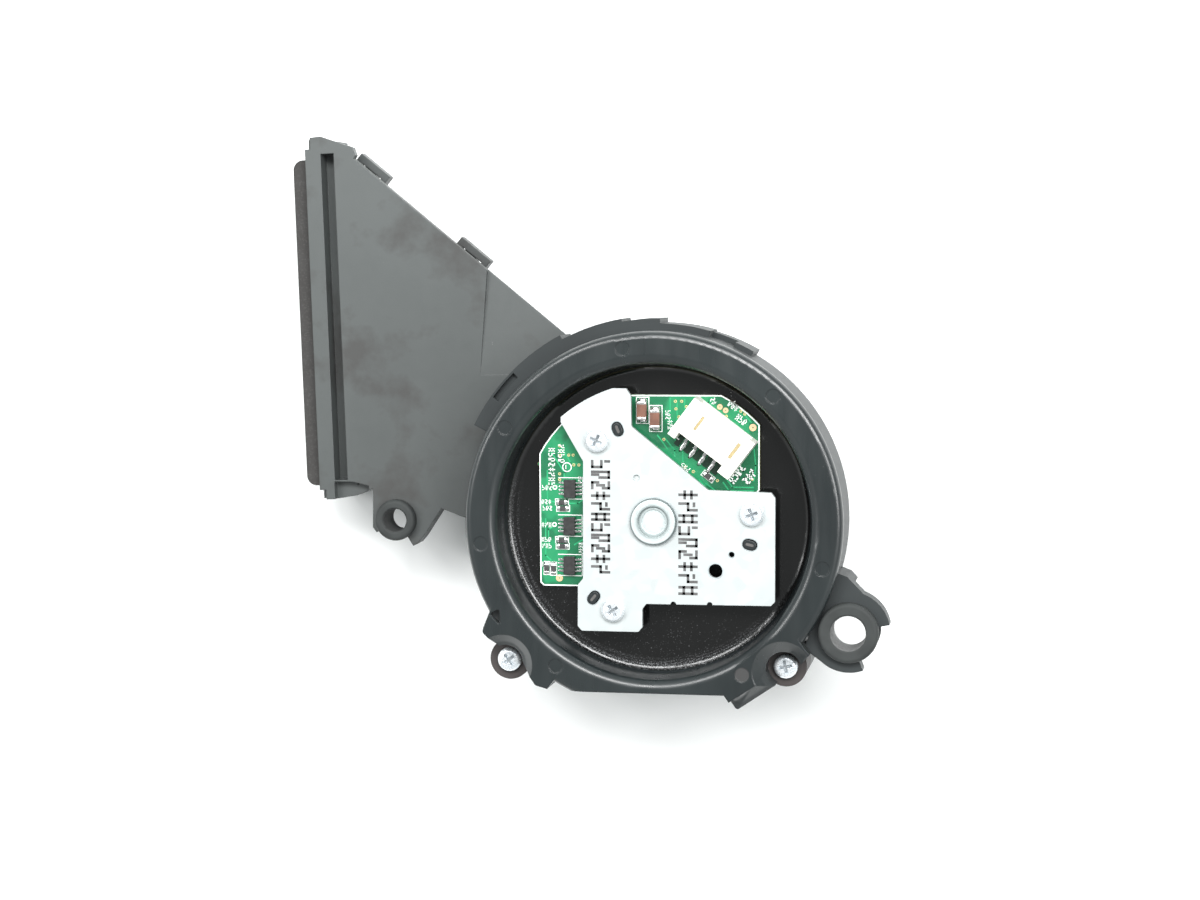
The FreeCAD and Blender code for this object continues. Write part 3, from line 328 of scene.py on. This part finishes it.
def plate_steel():
    """Galvanised sheet: pale, nearly matte, with a soft spangle."""
    s = Surface("plate_steel").set(Metallic=0.35)
    cells = s.add("ShaderNodeTexVoronoi", {"Vector": s.place, "Scale": 0.55 / MM})
    tone = s.ramp(cells.outputs["Color"], 0.0, 1.0)
    base = s.mix(tone, (0.475, 0.51, 0.51, 1), (0.50, 0.535, 0.535, 1))
    rub = s.ramp(s.noise(0.8, 5, 0.7, s.stretched(1.0, 0.15, 1.0)), 0.60, 0.74, 0.0, 0.25)
    base = s.mix(rub, base, grey(0.44))
    return s.finish(base, s.ramp(tone, 0.0, 1.0, 0.42, 0.52), s.noise(5.0, 3), 0.005, 0.12)


def holder_steel():
    """Turned and plated: fine rings round the axis, dark lines of painted shade at the rim and the
    lip, painted shade inside the rim and a painted highlight in the middle.
    """
    s = Surface("holder_steel").set(Metallic=0.45)
    reach = s.radius()
    rings = s.math("SINE", s.times(reach, 2 * math.pi / 0.22))
    # Painted shade: darker on the slope towards the lip.
    base = s.mix(s.ramp(reach, 2.7, 3.8), (0.46, 0.52, 0.52, 1), (0.62, 0.67, 0.67, 1))
    # Painted highlight: lighter in the middle.
    base = s.mix(s.below(reach, 0.6, 2.3), base, (0.72, 0.77, 0.77, 1))
    # Painted shade: dark lines at the rim and at the lip.
    rim = s.below(s.off(reach, 3.95), 0.08, 0.26, 0.95)
    lip = s.below(s.off(reach, 2.62), 0.08, 0.42, 0.55)
    base = s.mix(s.math("MAXIMUM", rim, lip), base, (0.13, 0.16, 0.16, 1))
    return s.finish(base, s.uneven(2.0, 3, 0.30, 0.42), rings, 0.006, 0.12)


def board_green():
    """Solder mask over copper, lighter where the copper is poured and brown on the cut edge."""
    s = Surface("board_green").set(Coat_Weight=0.35, Coat_Roughness=0.12)
    x, y, z = s.axes()
    weave = s.times(s.math("SINE", s.times(x, 14.0)), s.math("SINE", s.times(y, 14.0)))
    pour = s.ramp(s.noise(0.16, 2, 0.4), 0.46, 0.50)
    base = s.mix(pour, (0.007, 0.125, 0.052, 1), (0.014, 0.225, 0.092, 1))
    base = s.mix(s.ramp(weave, 0.2, 0.9, 0.0, 0.18), base, (0.020, 0.30, 0.125, 1))
    base = s.mix(s.below(z, BOARD_TOP - 0.2, BOARD_TOP - 0.1), base, (0.30, 0.27, 0.14, 1))
    height = s.math("ADD", pour, s.times(s.noise(3.0, 2), 0.3))
    return s.finish(base, s.uneven(1.0, 3, 0.28, 0.4), height, 0.02, 0.08)


def chip_black():
    """Moulded chip package with a fine matte grain."""
    s = Surface("chip_black").set(Specular_IOR_Level=0.4)
    base = s.cloudy(s.noise(1.2, 4), grey(0.016), grey(0.030))
    return s.finish(base, s.uneven(2.0, 3, 0.4, 0.55), s.noise(9.0, 2), 0.01, 0.08)


def plain(name, color, rough, vary=0.15, grain=3.0, depth=0.008, edge=0.08, **values):
    """A surface of one colour with a fine cloudiness and grain."""
    s = Surface(name).set(**values)
    light = tuple(min(1.0, c * (1 + vary)) for c in color[:3]) + (1.0,)
    dark = tuple(c * (1 - vary) for c in color[:3]) + (1.0,)
    base = s.cloudy(s.noise(0.5, 4), dark, light)
    gloss = s.uneven(1.5, 3, rough * 0.85, rough * 1.15)
    return s.finish(base, gloss, s.noise(grain, 3), depth, edge)


def copper_wire():
    """Enamelled wire: the turns show as fine ridges across each coil."""
    s = Surface("copper_wire").set(Metallic=0.7)
    wave = s.add("ShaderNodeTexWave", {"Vector": s.polar(), "Scale": 1.6, "Distortion": 0.6},
                 wave_type="BANDS", bands_direction="X").outputs["Fac"]
    base = s.mix(wave, (0.33, 0.11, 0.04, 1), (0.72, 0.32, 0.13, 1))
    return s.finish(base, s.uneven(2.0, 3, 0.25, 0.4), wave, 0.08, 0.1)


def lamination():
    """Stacked sheet steel: fine lines round the stack."""
    s = Surface("lamination").set(Metallic=0.9)
    lines = s.math("SINE", s.times(s.axes()[2], 2 * math.pi / 0.35))
    base = s.mix(s.ramp(lines, -0.6, 0.4), grey(0.12), grey(0.34, -0.02))
    return s.finish(base, s.uneven(1.5, 3, 0.35, 0.5), lines, 0.02, 0.05)


IVORY = (0.83, 0.82, 0.76, 1)
MATERIALS = {
    "housing_black": housing_black,
    "duct_grey": duct_grey,
    "cover_grey": lambda: duct_grey("cover_grey", 0.050),
    "bellmouth_black": lambda: duct_grey("bellmouth_black", 0.022),
    "seal_rubber": seal_rubber,
    "grommet_rubber": grommet_rubber,
    "screw_steel": screw_steel,
    "plate_steel": plate_steel,
    "holder_steel": holder_steel,
    "bearing_steel": lambda: metal("bearing_steel", (0.72, 0.72, 0.73), 0.12),
    "shaft_steel": lambda: metal("shaft_steel", (0.68, 0.68, 0.70), 0.16, brushed=True),
    "spring_steel": lambda: metal("spring_steel", (0.34, 0.34, 0.37), 0.3),
    "cup_steel": lambda: metal("cup_steel", (0.58, 0.59, 0.60), 0.3, spots=0.2),
    "magnet": lambda: plain("magnet", grey(0.05, 0.04), 0.55),
    "lamination": lamination,
    "insulator": lambda: plain("insulator", (0.72, 0.70, 0.62, 1), 0.5),
    "copper_wire": copper_wire,
    "impeller_black": lambda: duct_grey("impeller_black", 0.028),
    "board_green": board_green,
    "chip_black": chip_black,
    "solder": lambda: metal("solder", (0.80, 0.80, 0.79), 0.25, edge=0.05),
    "ceramic_brown": lambda: plain("ceramic_brown", (0.155, 0.070, 0.046, 1), 0.45, 0.2),
    "passive_grey": lambda: plain("passive_grey", grey(0.05), 0.45, 0.3),
    "connector_ivory": lambda: plain("connector_ivory", IVORY, 0.42, 0.05, 5.0, 0.006, 0.15),
}


def paint_nodes():
    """Give every CAD node the procedural material of its record slot."""
    made = {}
    for entry in frame["record"]["subparts"]:
        slot = entry["material_slot"]
        if slot not in made:
            made[slot] = MATERIALS[slot]()
        node = frame["nodes"][entry["node"]]
        node.data.materials.clear()
        node.data.materials.append(made[slot])
    return made


# ---- flat pieces ----

def spot(local, origin=(0.0, 0.0), turn=0.0):
    """Point of a frame at origin, turned about Z, in the object's plan."""
    angle = math.radians(turn)
    x, y = local
    return (origin[0] + x * math.cos(angle) - y * math.sin(angle),
            origin[1] + x * math.sin(angle) + y * math.cos(angle))


def at_connector(u, v):
    """Point beside the connector, u along its contacts and v towards its back."""
    return spot((u, v), CONNECTOR, CONNECTOR_TURN)


def arc(radius, start, stop, steps):
    """Points along a circle about the fan axis, between two angles in degrees."""
    angles = [math.radians(start + (stop - start) * i / steps) for i in range(steps + 1)]
    return [(radius * math.cos(a), radius * math.sin(a)) for a in angles]


def ellipse(half_x, half_y, sides):
    """Counterclockwise outline about the origin."""
    angles = [2 * math.pi * i / sides for i in range(sides)]
    return [(half_x * math.cos(a), half_y * math.sin(a)) for a in angles]


def shrink(points, distance):
    """The same counterclockwise outline with every side moved inwards."""
    corners = [Vector(p) for p in points]
    count = len(corners)
    moved = []
    for i in range(count):
        into = (corners[i] - corners[i - 1]).normalized()
        out = (corners[(i + 1) % count] - corners[i]).normalized()
        left_in = Vector((-into.y, into.x))
        bisector = (left_in + Vector((-out.y, out.x))).normalized()
        moved.append(tuple(corners[i] + bisector * (distance / bisector.dot(left_in))))
    return moved


# Share of a solder mound's width and of its height at each of its levels.
DOME_LEVELS = ((1.0, 0.0), (0.96, 0.35), (0.80, 0.70), (0.50, 0.93), (0.22, 1.0))


class Pieces:
    """Flat solids and domes gathered in one mesh; every number is in millimetres."""

    def __init__(self, low=BOARD_TOP, thick=0.03):
        self.mesh = bmesh.new()
        self.low = low
        self.high = low + thick

    def layer(self, points, height):
        """Loop of vertices over an outline."""
        return [self.mesh.verts.new((x * MM, y * MM, height * MM)) for x, y in points]

    def skirt(self, lower, upper):
        """Faces between two loops of vertices."""
        count = len(lower)
        for i in range(count):
            j = (i + 1) % count
            self.mesh.faces.new((lower[i], lower[j], upper[j], upper[i]))

    def prism(self, points, high=None, soft=0.0):
        """Closed solid over a counterclockwise outline; soft slopes its top edge in."""
        high = self.high if high is None else high
        below = self.layer(points, self.low)
        self.mesh.faces.new(tuple(reversed(below)))
        if soft:
            shoulder = self.layer(points, high - soft)
            self.skirt(below, shoulder)
            below = shoulder
            points = shrink(points, soft)
        top = self.layer(points, high)
        self.skirt(below, top)
        self.mesh.faces.new(tuple(top))

    def rect(self, x0, x1, y0, y1, origin, turn=0.0, high=None, soft=0.0):
        """Closed solid over a rectangle of a frame at origin."""
        corners = [spot(c, origin, turn) for c in ((x0, y0), (x1, y0), (x1, y1), (x0, y1))]
        self.prism(corners, high, soft)

    def stroke(self, start, stop, width):
        """Straight line of print from start to stop."""
        half = width / 2
        turn = math.degrees(math.atan2(stop[1] - start[1], stop[0] - start[0]))
        self.rect(-half, math.dist(start, stop) + half, -half, half, start, turn)

    def path(self, points, width):
        for start, stop in zip(points, points[1:]):
            self.stroke(start, stop, width)

    def box(self, half_x, half_y, width, origin, turn=0.0):
        """Hollow rectangle of print."""
        corners = ((-half_x, -half_y), (half_x, -half_y), (half_x, half_y), (-half_x, half_y))
        outer = [spot(c, origin, turn) for c in corners]
        self.band(outer, shrink(outer, width))

    def band(self, outer, inner):
        """Closed strip between two outlines with the same number of points."""
        outer_low, outer_high, inner_low, inner_high = [
            self.layer(points, height) for points in (outer, inner)
            for height in (self.low, self.high)]
        self.skirt(outer_low, outer_high)
        self.skirt(inner_high, inner_low)
        self.skirt(outer_high, inner_high)
        self.skirt(inner_low, outer_low)

    def ring(self, centre, radius, hole, sides=20):
        outer, inner = [[spot(point, centre) for point in ellipse(reach, reach, sides)]
                        for reach in (radius, hole)]
        self.band(outer, inner)

    def dome(self, centre, half_x, half_y, height, turn=0.0):
        """Low mound of solder."""
        below = None
        for scale, rise in DOME_LEVELS:
            loop = [spot(p, centre, turn) for p in ellipse(half_x * scale, half_y * scale, 16)]
            level = self.layer(loop, self.low + rise * height)
            if below is None:
                self.mesh.faces.new(tuple(reversed(level)))
            else:
                self.skirt(below, level)
            below = level
        self.mesh.faces.new(tuple(below))

    def build(self, name, material, slot, smooth=False):
        """Turn what was gathered into a piece that rides on the housing."""
        mesh = bpy.data.meshes.new(name)
        bmesh.ops.recalc_face_normals(self.mesh, faces=self.mesh.faces)
        self.mesh.to_mesh(mesh)
        self.mesh.free()
        mesh.materials.append(material)
        if smooth:
            mesh.polygons.foreach_set("use_smooth", [True] * len(mesh.polygons))
        item = bpy.data.objects.new(name, mesh)
        bpy.context.collection.objects.link(item)
        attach(item, "housing")


# ---- pieces on the board ----

# Each cell of a made-up mark is a few strokes (x0, y0, x1, y1) in a unit box. A row of them spells
# nothing.
CELLS = (
    ((0.1, 0, 0.1, 1), (0.1, 1, 0.7, 1), (0.7, 0.45, 0.7, 1), (0.4, 0, 0.4, 0.35)),
    ((0.1, 0.55, 0.7, 0.55), (0.1, 0, 0.7, 0), (0.7, 0, 0.7, 0.55), (0.1, 0.8, 0.1, 1)),
    ((0.1, 0, 0.1, 1), (0.7, 0, 0.7, 1), (0.1, 0.25, 0.7, 0.25), (0.1, 0.75, 0.7, 0.75)),
    ((0.1, 0, 0.1, 0.5), (0.1, 0.5, 0.7, 0.5), (0.7, 0.5, 0.7, 1), (0.1, 0.85, 0.3, 0.85)),
    ((0.4, 0, 0.4, 1), (0.1, 0.3, 0.7, 0.3), (0.1, 0.7, 0.7, 0.7)),
    ((0.1, 1, 0.7, 1), (0.1, 0, 0.7, 0), (0.1, 0, 0.1, 0.35), (0.7, 0.65, 0.7, 1),
     (0.4, 0.3, 0.4, 0.7)),
)

# Rows of made-up print: place, turn, number of cells, height, pitch, stroke width and first cell.
BOARD_ROWS = (
    ((1.6, 18.9), -90, 3, 0.8, 0.55, 0.13, 1), ((2.0, 17.2), -90, 3, 0.8, 0.55, 0.13, 4),
    ((-18.9, 12.2), -90, 8, 1.0, 0.86, 0.15, 2), ((-17.2, 12.8), -90, 4, 1.0, 0.84, 0.15, 3),
    (at_connector(-1.6, 5.6), CONNECTOR_TURN, 3, 0.9, 0.68, 0.14, 0),
    ((13.6, 17.6), CONNECTOR_TURN, 3, 1.0, 0.72, 0.17, 2),
    ((9.3, 20.9), -70, 2, 0.8, 0.60, 0.13, 5), ((12.9, 20.2), -60, 2, 0.8, 0.60, 0.13, 1),
    ((5.9, 8.9), CONNECTOR_TURN + 180, 3, 0.8, 0.62, 0.14, 3),
    ((13.4, 6.4), CONNECTOR_TURN + 90, 4, 1.6, 0.9, 0.26, 2),
    ((15.9, 6.3), CONNECTOR_TURN + 90, 3, 1.2, 0.9, 0.24, 5),
    ((-13.6, -4.3), -90, 4, 0.9, 0.5, 0.12, 0), ((-13.0, 6.2), 90, 2, 0.7, 0.6, 0.12, 3),
)
PLATE_ROWS = (
    ((-10.7, 10.4), -90, 11, 2.9, 1.82, 0.46, 1), ((4.5, 5.4), -90, 9, 2.9, 2.06, 0.46, 4),
)


def marks(pieces, origin, turn, count, tall, pitch, width, first):
    """A row of made-up strokes where the board and the plate carry print."""
    for number in range(count):
        for x0, y0, x1, y1 in CELLS[(first + number * 5) % len(CELLS)]:
            start = spot(((number + x0 * 0.9) * pitch, y0 * tall), origin, turn)
            stop = spot(((number + x1 * 0.9) * pitch, y1 * tall), origin, turn)
            pieces.stroke(start, stop, width)


def board_edge():
    """Outline of the circuit board."""
    lower = [(-20.5, -11.3), (-19.9, -11.9), (2.0, -11.9), (9.0, -5.0), (9.0, 4.5), (17.1, 4.5),
             (17.9, 5.3)]
    return lower + arc(24.4, 42.8, 62.5, 6) + arc(23.45, 113.2, 151.5, 8)


def board_print():
    """White print: edge line, boxes round the components and made-up marks beside them."""
    white = Pieces()
    edge = board_edge()
    white.band(shrink(edge, 0.03), shrink(edge, 0.25))
    for x, y in TRANSISTORS:
        for side in (-1, 1):
            white.stroke((x - 2.05, y + side * 1.85), (x + 2.05, y + side * 1.85), 0.14)
        white.stroke((x + 2.15, y - 1.85), (x + 2.15, y + 1.85), 0.12)
        white.ring((x - 2.75, y + 0.15), 0.42, 0.22)
        marks(white, (x - 5.0, y - 0.3), 0, 3, 0.75, 0.62, 0.13, int(x + y) % 5)
    for x, y, turn in PASSIVES:
        white.box(1.22, 0.60, 0.12, (x, y), turn)
    for number, (x, y, _) in enumerate(PASSIVES[:4]):
        marks(white, (x - 3.6, y - 0.35), 0, 3, 0.7, 0.60, 0.13, number)
    for place in CAPACITORS:
        white.box(1.16, 2.32, 0.14, place)
    for row in BOARD_ROWS:
        marks(white, *row)
    white.ring((-15.7, 8.9), 0.85, 0.68)
    white.stroke((-15.9, 8.6), (-15.9, 9.2), 0.13)
    for side in (-1, 1):
        white.stroke(at_connector(side * 5.3 - 0.6, -4.25),
                     at_connector(side * 5.3 + 0.6, -4.25), 0.16)
    return white


TRACKS = (
    ((-19.2, 8.2), (-19.2, 3.0), (-17.9, 2.8)), ((-18.4, 11.4), (-16.2, 8.0), (-16.2, 7.2)),
    ((-12.6, 9.4), (-15.0, 9.6), (-17.0, 12.8)), ((-12.4, 3.6), (-13.8, 2.6), (-15.6, 2.6)),
    ((-12.4, -3.4), (-14.4, -4.6)), ((-19.5, -0.2), (-19.5, -6.6), (-18.6, -7.4)),
    ((-17.6, -1.2), (-19.0, -2.0), (-19.0, -5.4)),
    ((2.4, 21.0), (2.4, 15.0), (4.6, 12.2), (4.6, 9.6)),
    ((3.6, 20.4), (3.6, 15.8), (5.6, 13.0)), ((4.9, 20.8), (4.9, 17.4), (6.0, 16.2)),
    ((11.6, 6.6), (12.6, 5.2), (16.8, 5.2)), ((12.2, 7.2), (13.2, 5.8), (16.8, 5.8)),
    ((16.9, 6.9), (17.2, 9.6), (16.9, 12.4)), ((13.4, 19.0), (15.0, 18.6), (16.4, 17.0)),
    ((10.0, 19.2), (9.0, 20.4), (7.0, 20.6)), ((1.4, 14.2), (3.2, 12.0), (3.2, 11.0)),
    ((0.2, 14.6), (2.0, 12.2)), ((8.6, 6.4), (10.2, 5.2)), ((7.4, 7.0), (8.8, 5.4)),
)
VIAS = (
    (-17.0, 12.6), (-16.9, 10.9), (-15.4, 11.0), (-14.6, 11.0), (-14.5, 9.3), (-13.6, 9.3),
    (-17.0, 7.7), (-17.0, 6.7), (3.3, 20.5), (4.4, 20.5), (3.4, 19.2), (5.2, 19.6), (3.9, 17.8),
    (14.6, 18.9), (15.3, 18.4), (5.0, 9.2), (6.4, 8.4), (10.6, 6.9), (12.1, 18.0), (16.6, 7.2),
    (5.9, 18.8), (1.3, 13.9),
)
# Place and radius of each test pad.
TEST_PADS = ((11.0, 19.6, 0.48), (12.0, 19.0, 0.48), (16.7, 16.1, 0.62), (-17.1, -10.5, 0.62))
# Places of the squares of painted shade between the connector's feet, along its contacts.
SHADE_PATCHES = (-4.5, -2.4, -0.4, 1.6, 3.6)
# Limits of the brass strips in the connector's slots: along the contacts, then across them.
STRIPS = ((-3.43, -2.97, -0.58, 2.18), (4.12, 4.68, -0.78, 2.28))
# Outline of the tab on the board's left edge.
NUB = ((-20.5, 9.9), (-20.95, 9.55), (-20.95, 9.25), (-20.5, 8.9))


def solder_joints():
    """Solder at every foot, and the metal ends of the chip passives and the capacitors."""
    solder = Pieces(thick=0.05)
    for x, y in TRANSISTORS:
        for side in (-1, 1):
            for step in range(4):
                solder.dome((x + side * 1.75, y - 0.975 + 0.65 * step), 0.42, 0.22, 0.13)
    for x, y, turn in PASSIVES:
        for side in (-1, 1):
            solder.dome(spot((side * 0.82, 0), (x, y), turn), 0.30, 0.46, 0.26, turn)
            near, far = sorted((side * 0.48, side * 0.78))
            solder.rect(near, far, -0.43, 0.43, (x, y), turn, high=BOARD_TOP + 0.48, soft=0.06)
    for x, y in CAPACITORS:
        for side in (-1, 1):
            near, far = sorted((side * 1.02, side * 1.66))
            solder.rect(-0.84, 0.84, near, far, (x, y), high=BOARD_TOP + 1.65, soft=0.12)
            solder.dome((x, y + side * 1.78), 0.84, 0.40, 0.75)
    for u in CONTACTS:
        solder.dome(at_connector(u, -4.7), 0.44, 1.25, 0.36, CONNECTOR_TURN)
    return solder


def board_pieces():
    """Print, tracks, pads, solder and the metal ends of the board's parts."""
    silk = plain("print_white", (0.86, 0.88, 0.86, 1), 0.6, 0.06, 6.0)
    track_green = plain("track_green", (0.024, 0.36, 0.150, 1), 0.32, 0.12, Coat_Weight=0.4)
    gold = metal("pad_gold", (0.90, 0.74, 0.38), 0.30, metallic=0.6, edge=0.03)
    copper = metal("pad_copper", (0.92, 0.58, 0.36), 0.34, metallic=0.4, edge=0.03)
    brass = metal("brass", (0.62, 0.50, 0.27), 0.34, metallic=0.5, edge=0.03)
    # Dark green for the painted shade between the connector's feet.
    painted_shade_green = plain("painted_shade_green", (0.006, 0.032, 0.016, 1), 0.4, 0.2)
    board_print().build("board_print", silk, "connector_ivory")
    tracks = Pieces(thick=0.015)
    for points in TRACKS:
        tracks.path(points, 0.22)
    tracks.build("board_tracks", track_green, "board_green")
    vias = Pieces(thick=0.022)
    for point in VIAS:
        vias.ring(point, 0.27, 0.11, 14)
    vias.build("board_vias", gold, "solder")
    pads = Pieces(thick=0.028)
    for x, y, radius in TEST_PADS:
        pads.ring((x, y), radius, radius * 0.20)
    pads.build("test_pads", copper, "copper_wire")
    solder_joints().build("solder_joints", surfaces["solder"], "solder", smooth=True)
    # Painted shade: dark green squares on the board where the connector shades it between its
    # feet.
    shade_patches = Pieces(thick=0.02)
    for u in SHADE_PATCHES:
        shade_patches.rect(u - 0.52, u + 0.52, -5.35, -2.55, CONNECTOR, CONNECTOR_TURN)
    shade_patches.build("board_painted_shade", painted_shade_green, "board_green")
    nub = Pieces(BOARD_TOP - 1.1, 1.0)
    nub.prism(NUB, soft=0.1)
    nub.build("board_nub", surfaces["board_green"], "board_green")
    strips = Pieces(CONNECTOR_TOP - 0.55, 0.5)
    for limits in STRIPS:
        strips.rect(*limits, CONNECTOR, CONNECTOR_TURN, soft=0.03)
    strips.build("connector_strips", brass, "solder")


# ---- pieces on the plate and the cover ----

def oval(half_long, half_wide, degrees):
    """Outline round one of the plate's slots, its long axis towards the fan axis."""
    reach = half_long - half_wide
    ends = [(side * reach + half_wide * math.cos(a), half_wide * math.sin(a))
            for side, first in ((1, -90), (-1, 90))
            for a in (math.radians(first + 30 * i) for i in range(7))]
    centre = spot((SLOT_CIRCLE, 0), turn=degrees)
    return [spot(point, centre, degrees) for point in ends]


def plate_pieces():
    """Made-up stamped marks, painted shade in grey bands round the slots, the holes and the boss,
    and marks on the pins.
    """
    ink = plain("plate_ink", grey(0.085), 0.5, 0.35, 6.0)
    stamped = Pieces(PLATE_TOP, 0.012)
    for row in PLATE_ROWS:
        marks(stamped, *row)
    stamped.build("plate_marks", ink, "chip_black")
    # Painted shade: darker grey bands along the edges of the slots and holes and round the foot of
    # the boss.
    edges = Pieces(PLATE_TOP, 0.02)
    caps = Pieces(PIN_TOP, 0.05)
    for degrees in SLOTS:
        edges.band(oval(1.46, 1.11, degrees), oval(1.31, 0.96, degrees))
        caps.prism(oval(0.72, 0.24, degrees))
    edges.ring((10.7, -8.35), 1.42, 1.21, 28)
    edges.ring((13.45, -5.5), 0.62, 0.51)
    edges.ring((0.0, 0.0), 4.22, 4.02, 48)
    # Grey of the painted shade at those edges.
    edge_shade_grey = plain("edge_shade", (0.36, 0.40, 0.41, 1), 0.4, 0.2)
    edges.build("painted_edge_shade", edge_shade_grey, "plate_steel")
    caps.build("pin_marks", plain("pin_mark", grey(0.08, 0.04), 0.5), "housing_black")


# Witness lines on the cover's underside: x, y, radius and sides. Seven ejectors, the gate and the
# mould insert.
COVER_RINGS = (
    (-52.0, 30.0, 1.5, 24), (-50.0, 12.0, 1.5, 24), (-36.0, 22.0, 1.5, 24), (-22.0, 2.0, 1.5, 24),
    (0.0, 21.0, 1.5, 24), (18.0, -11.0, 1.5, 24), (-17.0, -14.0, 1.5, 24), (0.0, 0.0, 1.1, 24),
    (0.0, 0.0, 25.5, 96),
)


def cover_pieces():
    """Hair-thin raised lines that the mould leaves on the cover's underside."""
    lines = Pieces(-0.02, 0.03)
    for x, y, radius, sides in COVER_RINGS:
        lines.ring((x, y), radius, radius - 0.14, sides)
    lines.build("cover_witness_lines", plain("witness_line", cool(0.026), 0.42), "cover_grey")


# ---- stage, light and camera ----

# Half of the floor's side, and how far it lies under the object's lowest point.
FLOOR_HALF = 3000.0
FLOOR_GAP = 0.02


def stage():
    """White floor that the object lies on."""
    mesh = bpy.data.meshes.new("floor")
    half = FLOOR_HALF * MM
    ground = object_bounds()[0][2] - FLOOR_GAP * MM
    corners = [(x * half, y * half, ground) for x, y in ((-1, -1), (1, -1), (1, 1), (-1, 1))]
    mesh.from_pydata(corners, [], [(0, 1, 2, 3)])
    floor = bpy.data.objects.new("floor", mesh)
    bpy.context.collection.objects.link(floor)
    s = Surface("floor_white").set(Roughness=0.9, Specular_IOR_Level=0.1)
    base = s.mix(s.uneven(0.01, 2, 0.0, 1.0), (0.90, 0.915, 0.91, 1), (0.93, 0.94, 0.935, 1))
    mesh.materials.append(s.finish(base))
    floor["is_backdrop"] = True


# Direction round the object and lean from straight above, in degrees, and power of each lamp.
LAMPS = ((8, 37, 2.4), (38, 34, 3.2), (68, 32, 3.4), (98, 33, 3.0), (130, 36, 2.4), (164, 40, 1.8))
LAMP_REACH = 900.0
LAMP_SIDE = 240.0
LAMP_AIM = (0.0, 0.0, 20.0)
ROOM_STRENGTH = 0.72
# Brightness of the room by height: place on the ramp and colour. The last is the patch overhead.
ROOM = ((0.0, (0.95, 1.0, 1.0, 1)), (0.80, (0.98, 1.0, 1.0, 1)), (0.97, (0.45, 0.47, 0.47, 1)))


def room():
    """Bright even surroundings with a dimmer patch straight above."""
    world = bpy.data.worlds.new("room")
    world.use_nodes = True
    tree = world.node_tree
    place = tree.nodes.new("ShaderNodeTexCoord")
    split = tree.nodes.new("ShaderNodeSeparateXYZ")
    ramp = tree.nodes.new("ShaderNodeValToRGB")
    background = tree.nodes["Background"]
    tree.links.new(place.outputs["Generated"], split.inputs[0])
    tree.links.new(split.outputs["Z"], ramp.inputs["Fac"])
    tree.links.new(ramp.outputs["Color"], background.inputs["Color"])
    stops = ramp.color_ramp.elements
    stops.new(ROOM[-1][0])
    for stop, (position, color) in zip(stops, ROOM):
        stop.position = position
        stop.color = color
    background.inputs["Strength"].default_value = ROOM_STRENGTH
    bpy.context.scene.world = world


def lamps():
    """Row of soft lamps high on the right."""
    for number, (azimuth, lean, power) in enumerate(LAMPS):
        light = bpy.data.lights.new("lamp_%d" % number, "AREA")
        light.shape = "SQUARE"
        light.size = LAMP_SIDE * MM
        light.energy = power
        away = math.radians(lean)
        x, y = spot((math.sin(away), 0.0), turn=azimuth)
        item = bpy.data.objects.new("lamp_%d" % number, light)
        item.location = Vector((x, y, math.cos(away))) * LAMP_REACH * MM
        aim = Vector(LAMP_AIM) * MM
        item.rotation_euler = (aim - item.location).to_track_quat("-Z", "Y").to_euler()
        bpy.context.collection.objects.link(item)


# Place and aim of the camera, and the direction that is up in its picture.
CAMERA_PLACE = (64.8, 44.6, 453.2)
CAMERA_AIM = (-9.3, 12.2, 31.4)
CAMERA_UP = (-0.01146, 0.99714, -0.07464)
CAMERA_LENS = 75.0
CAMERA_NEAR = 10.0


def camera():
    """Looks almost straight down from the fan's upper right, as the object lies on its cover."""
    place = Vector(CAMERA_PLACE) * MM
    back = (place - Vector(CAMERA_AIM) * MM).normalized()
    right = Vector(CAMERA_UP).cross(back).normalized()
    up = back.cross(right)
    data = bpy.data.cameras.new("camera")
    data.lens = CAMERA_LENS
    data.sensor_width = 36.0
    data.clip_start = CAMERA_NEAR * MM
    item = bpy.data.objects.new("camera", data)
    turn = Matrix((right, up, back)).transposed().to_4x4()
    item.matrix_world = Matrix.Translation(place) @ turn
    bpy.context.collection.objects.link(item)
    bpy.context.scene.camera = item


surfaces = paint_nodes()
board_pieces()
plate_pieces()
cover_pieces()
stage()
room()
lamps()
camera()
bpy.context.scene.view_settings.view_transform = "Standard"
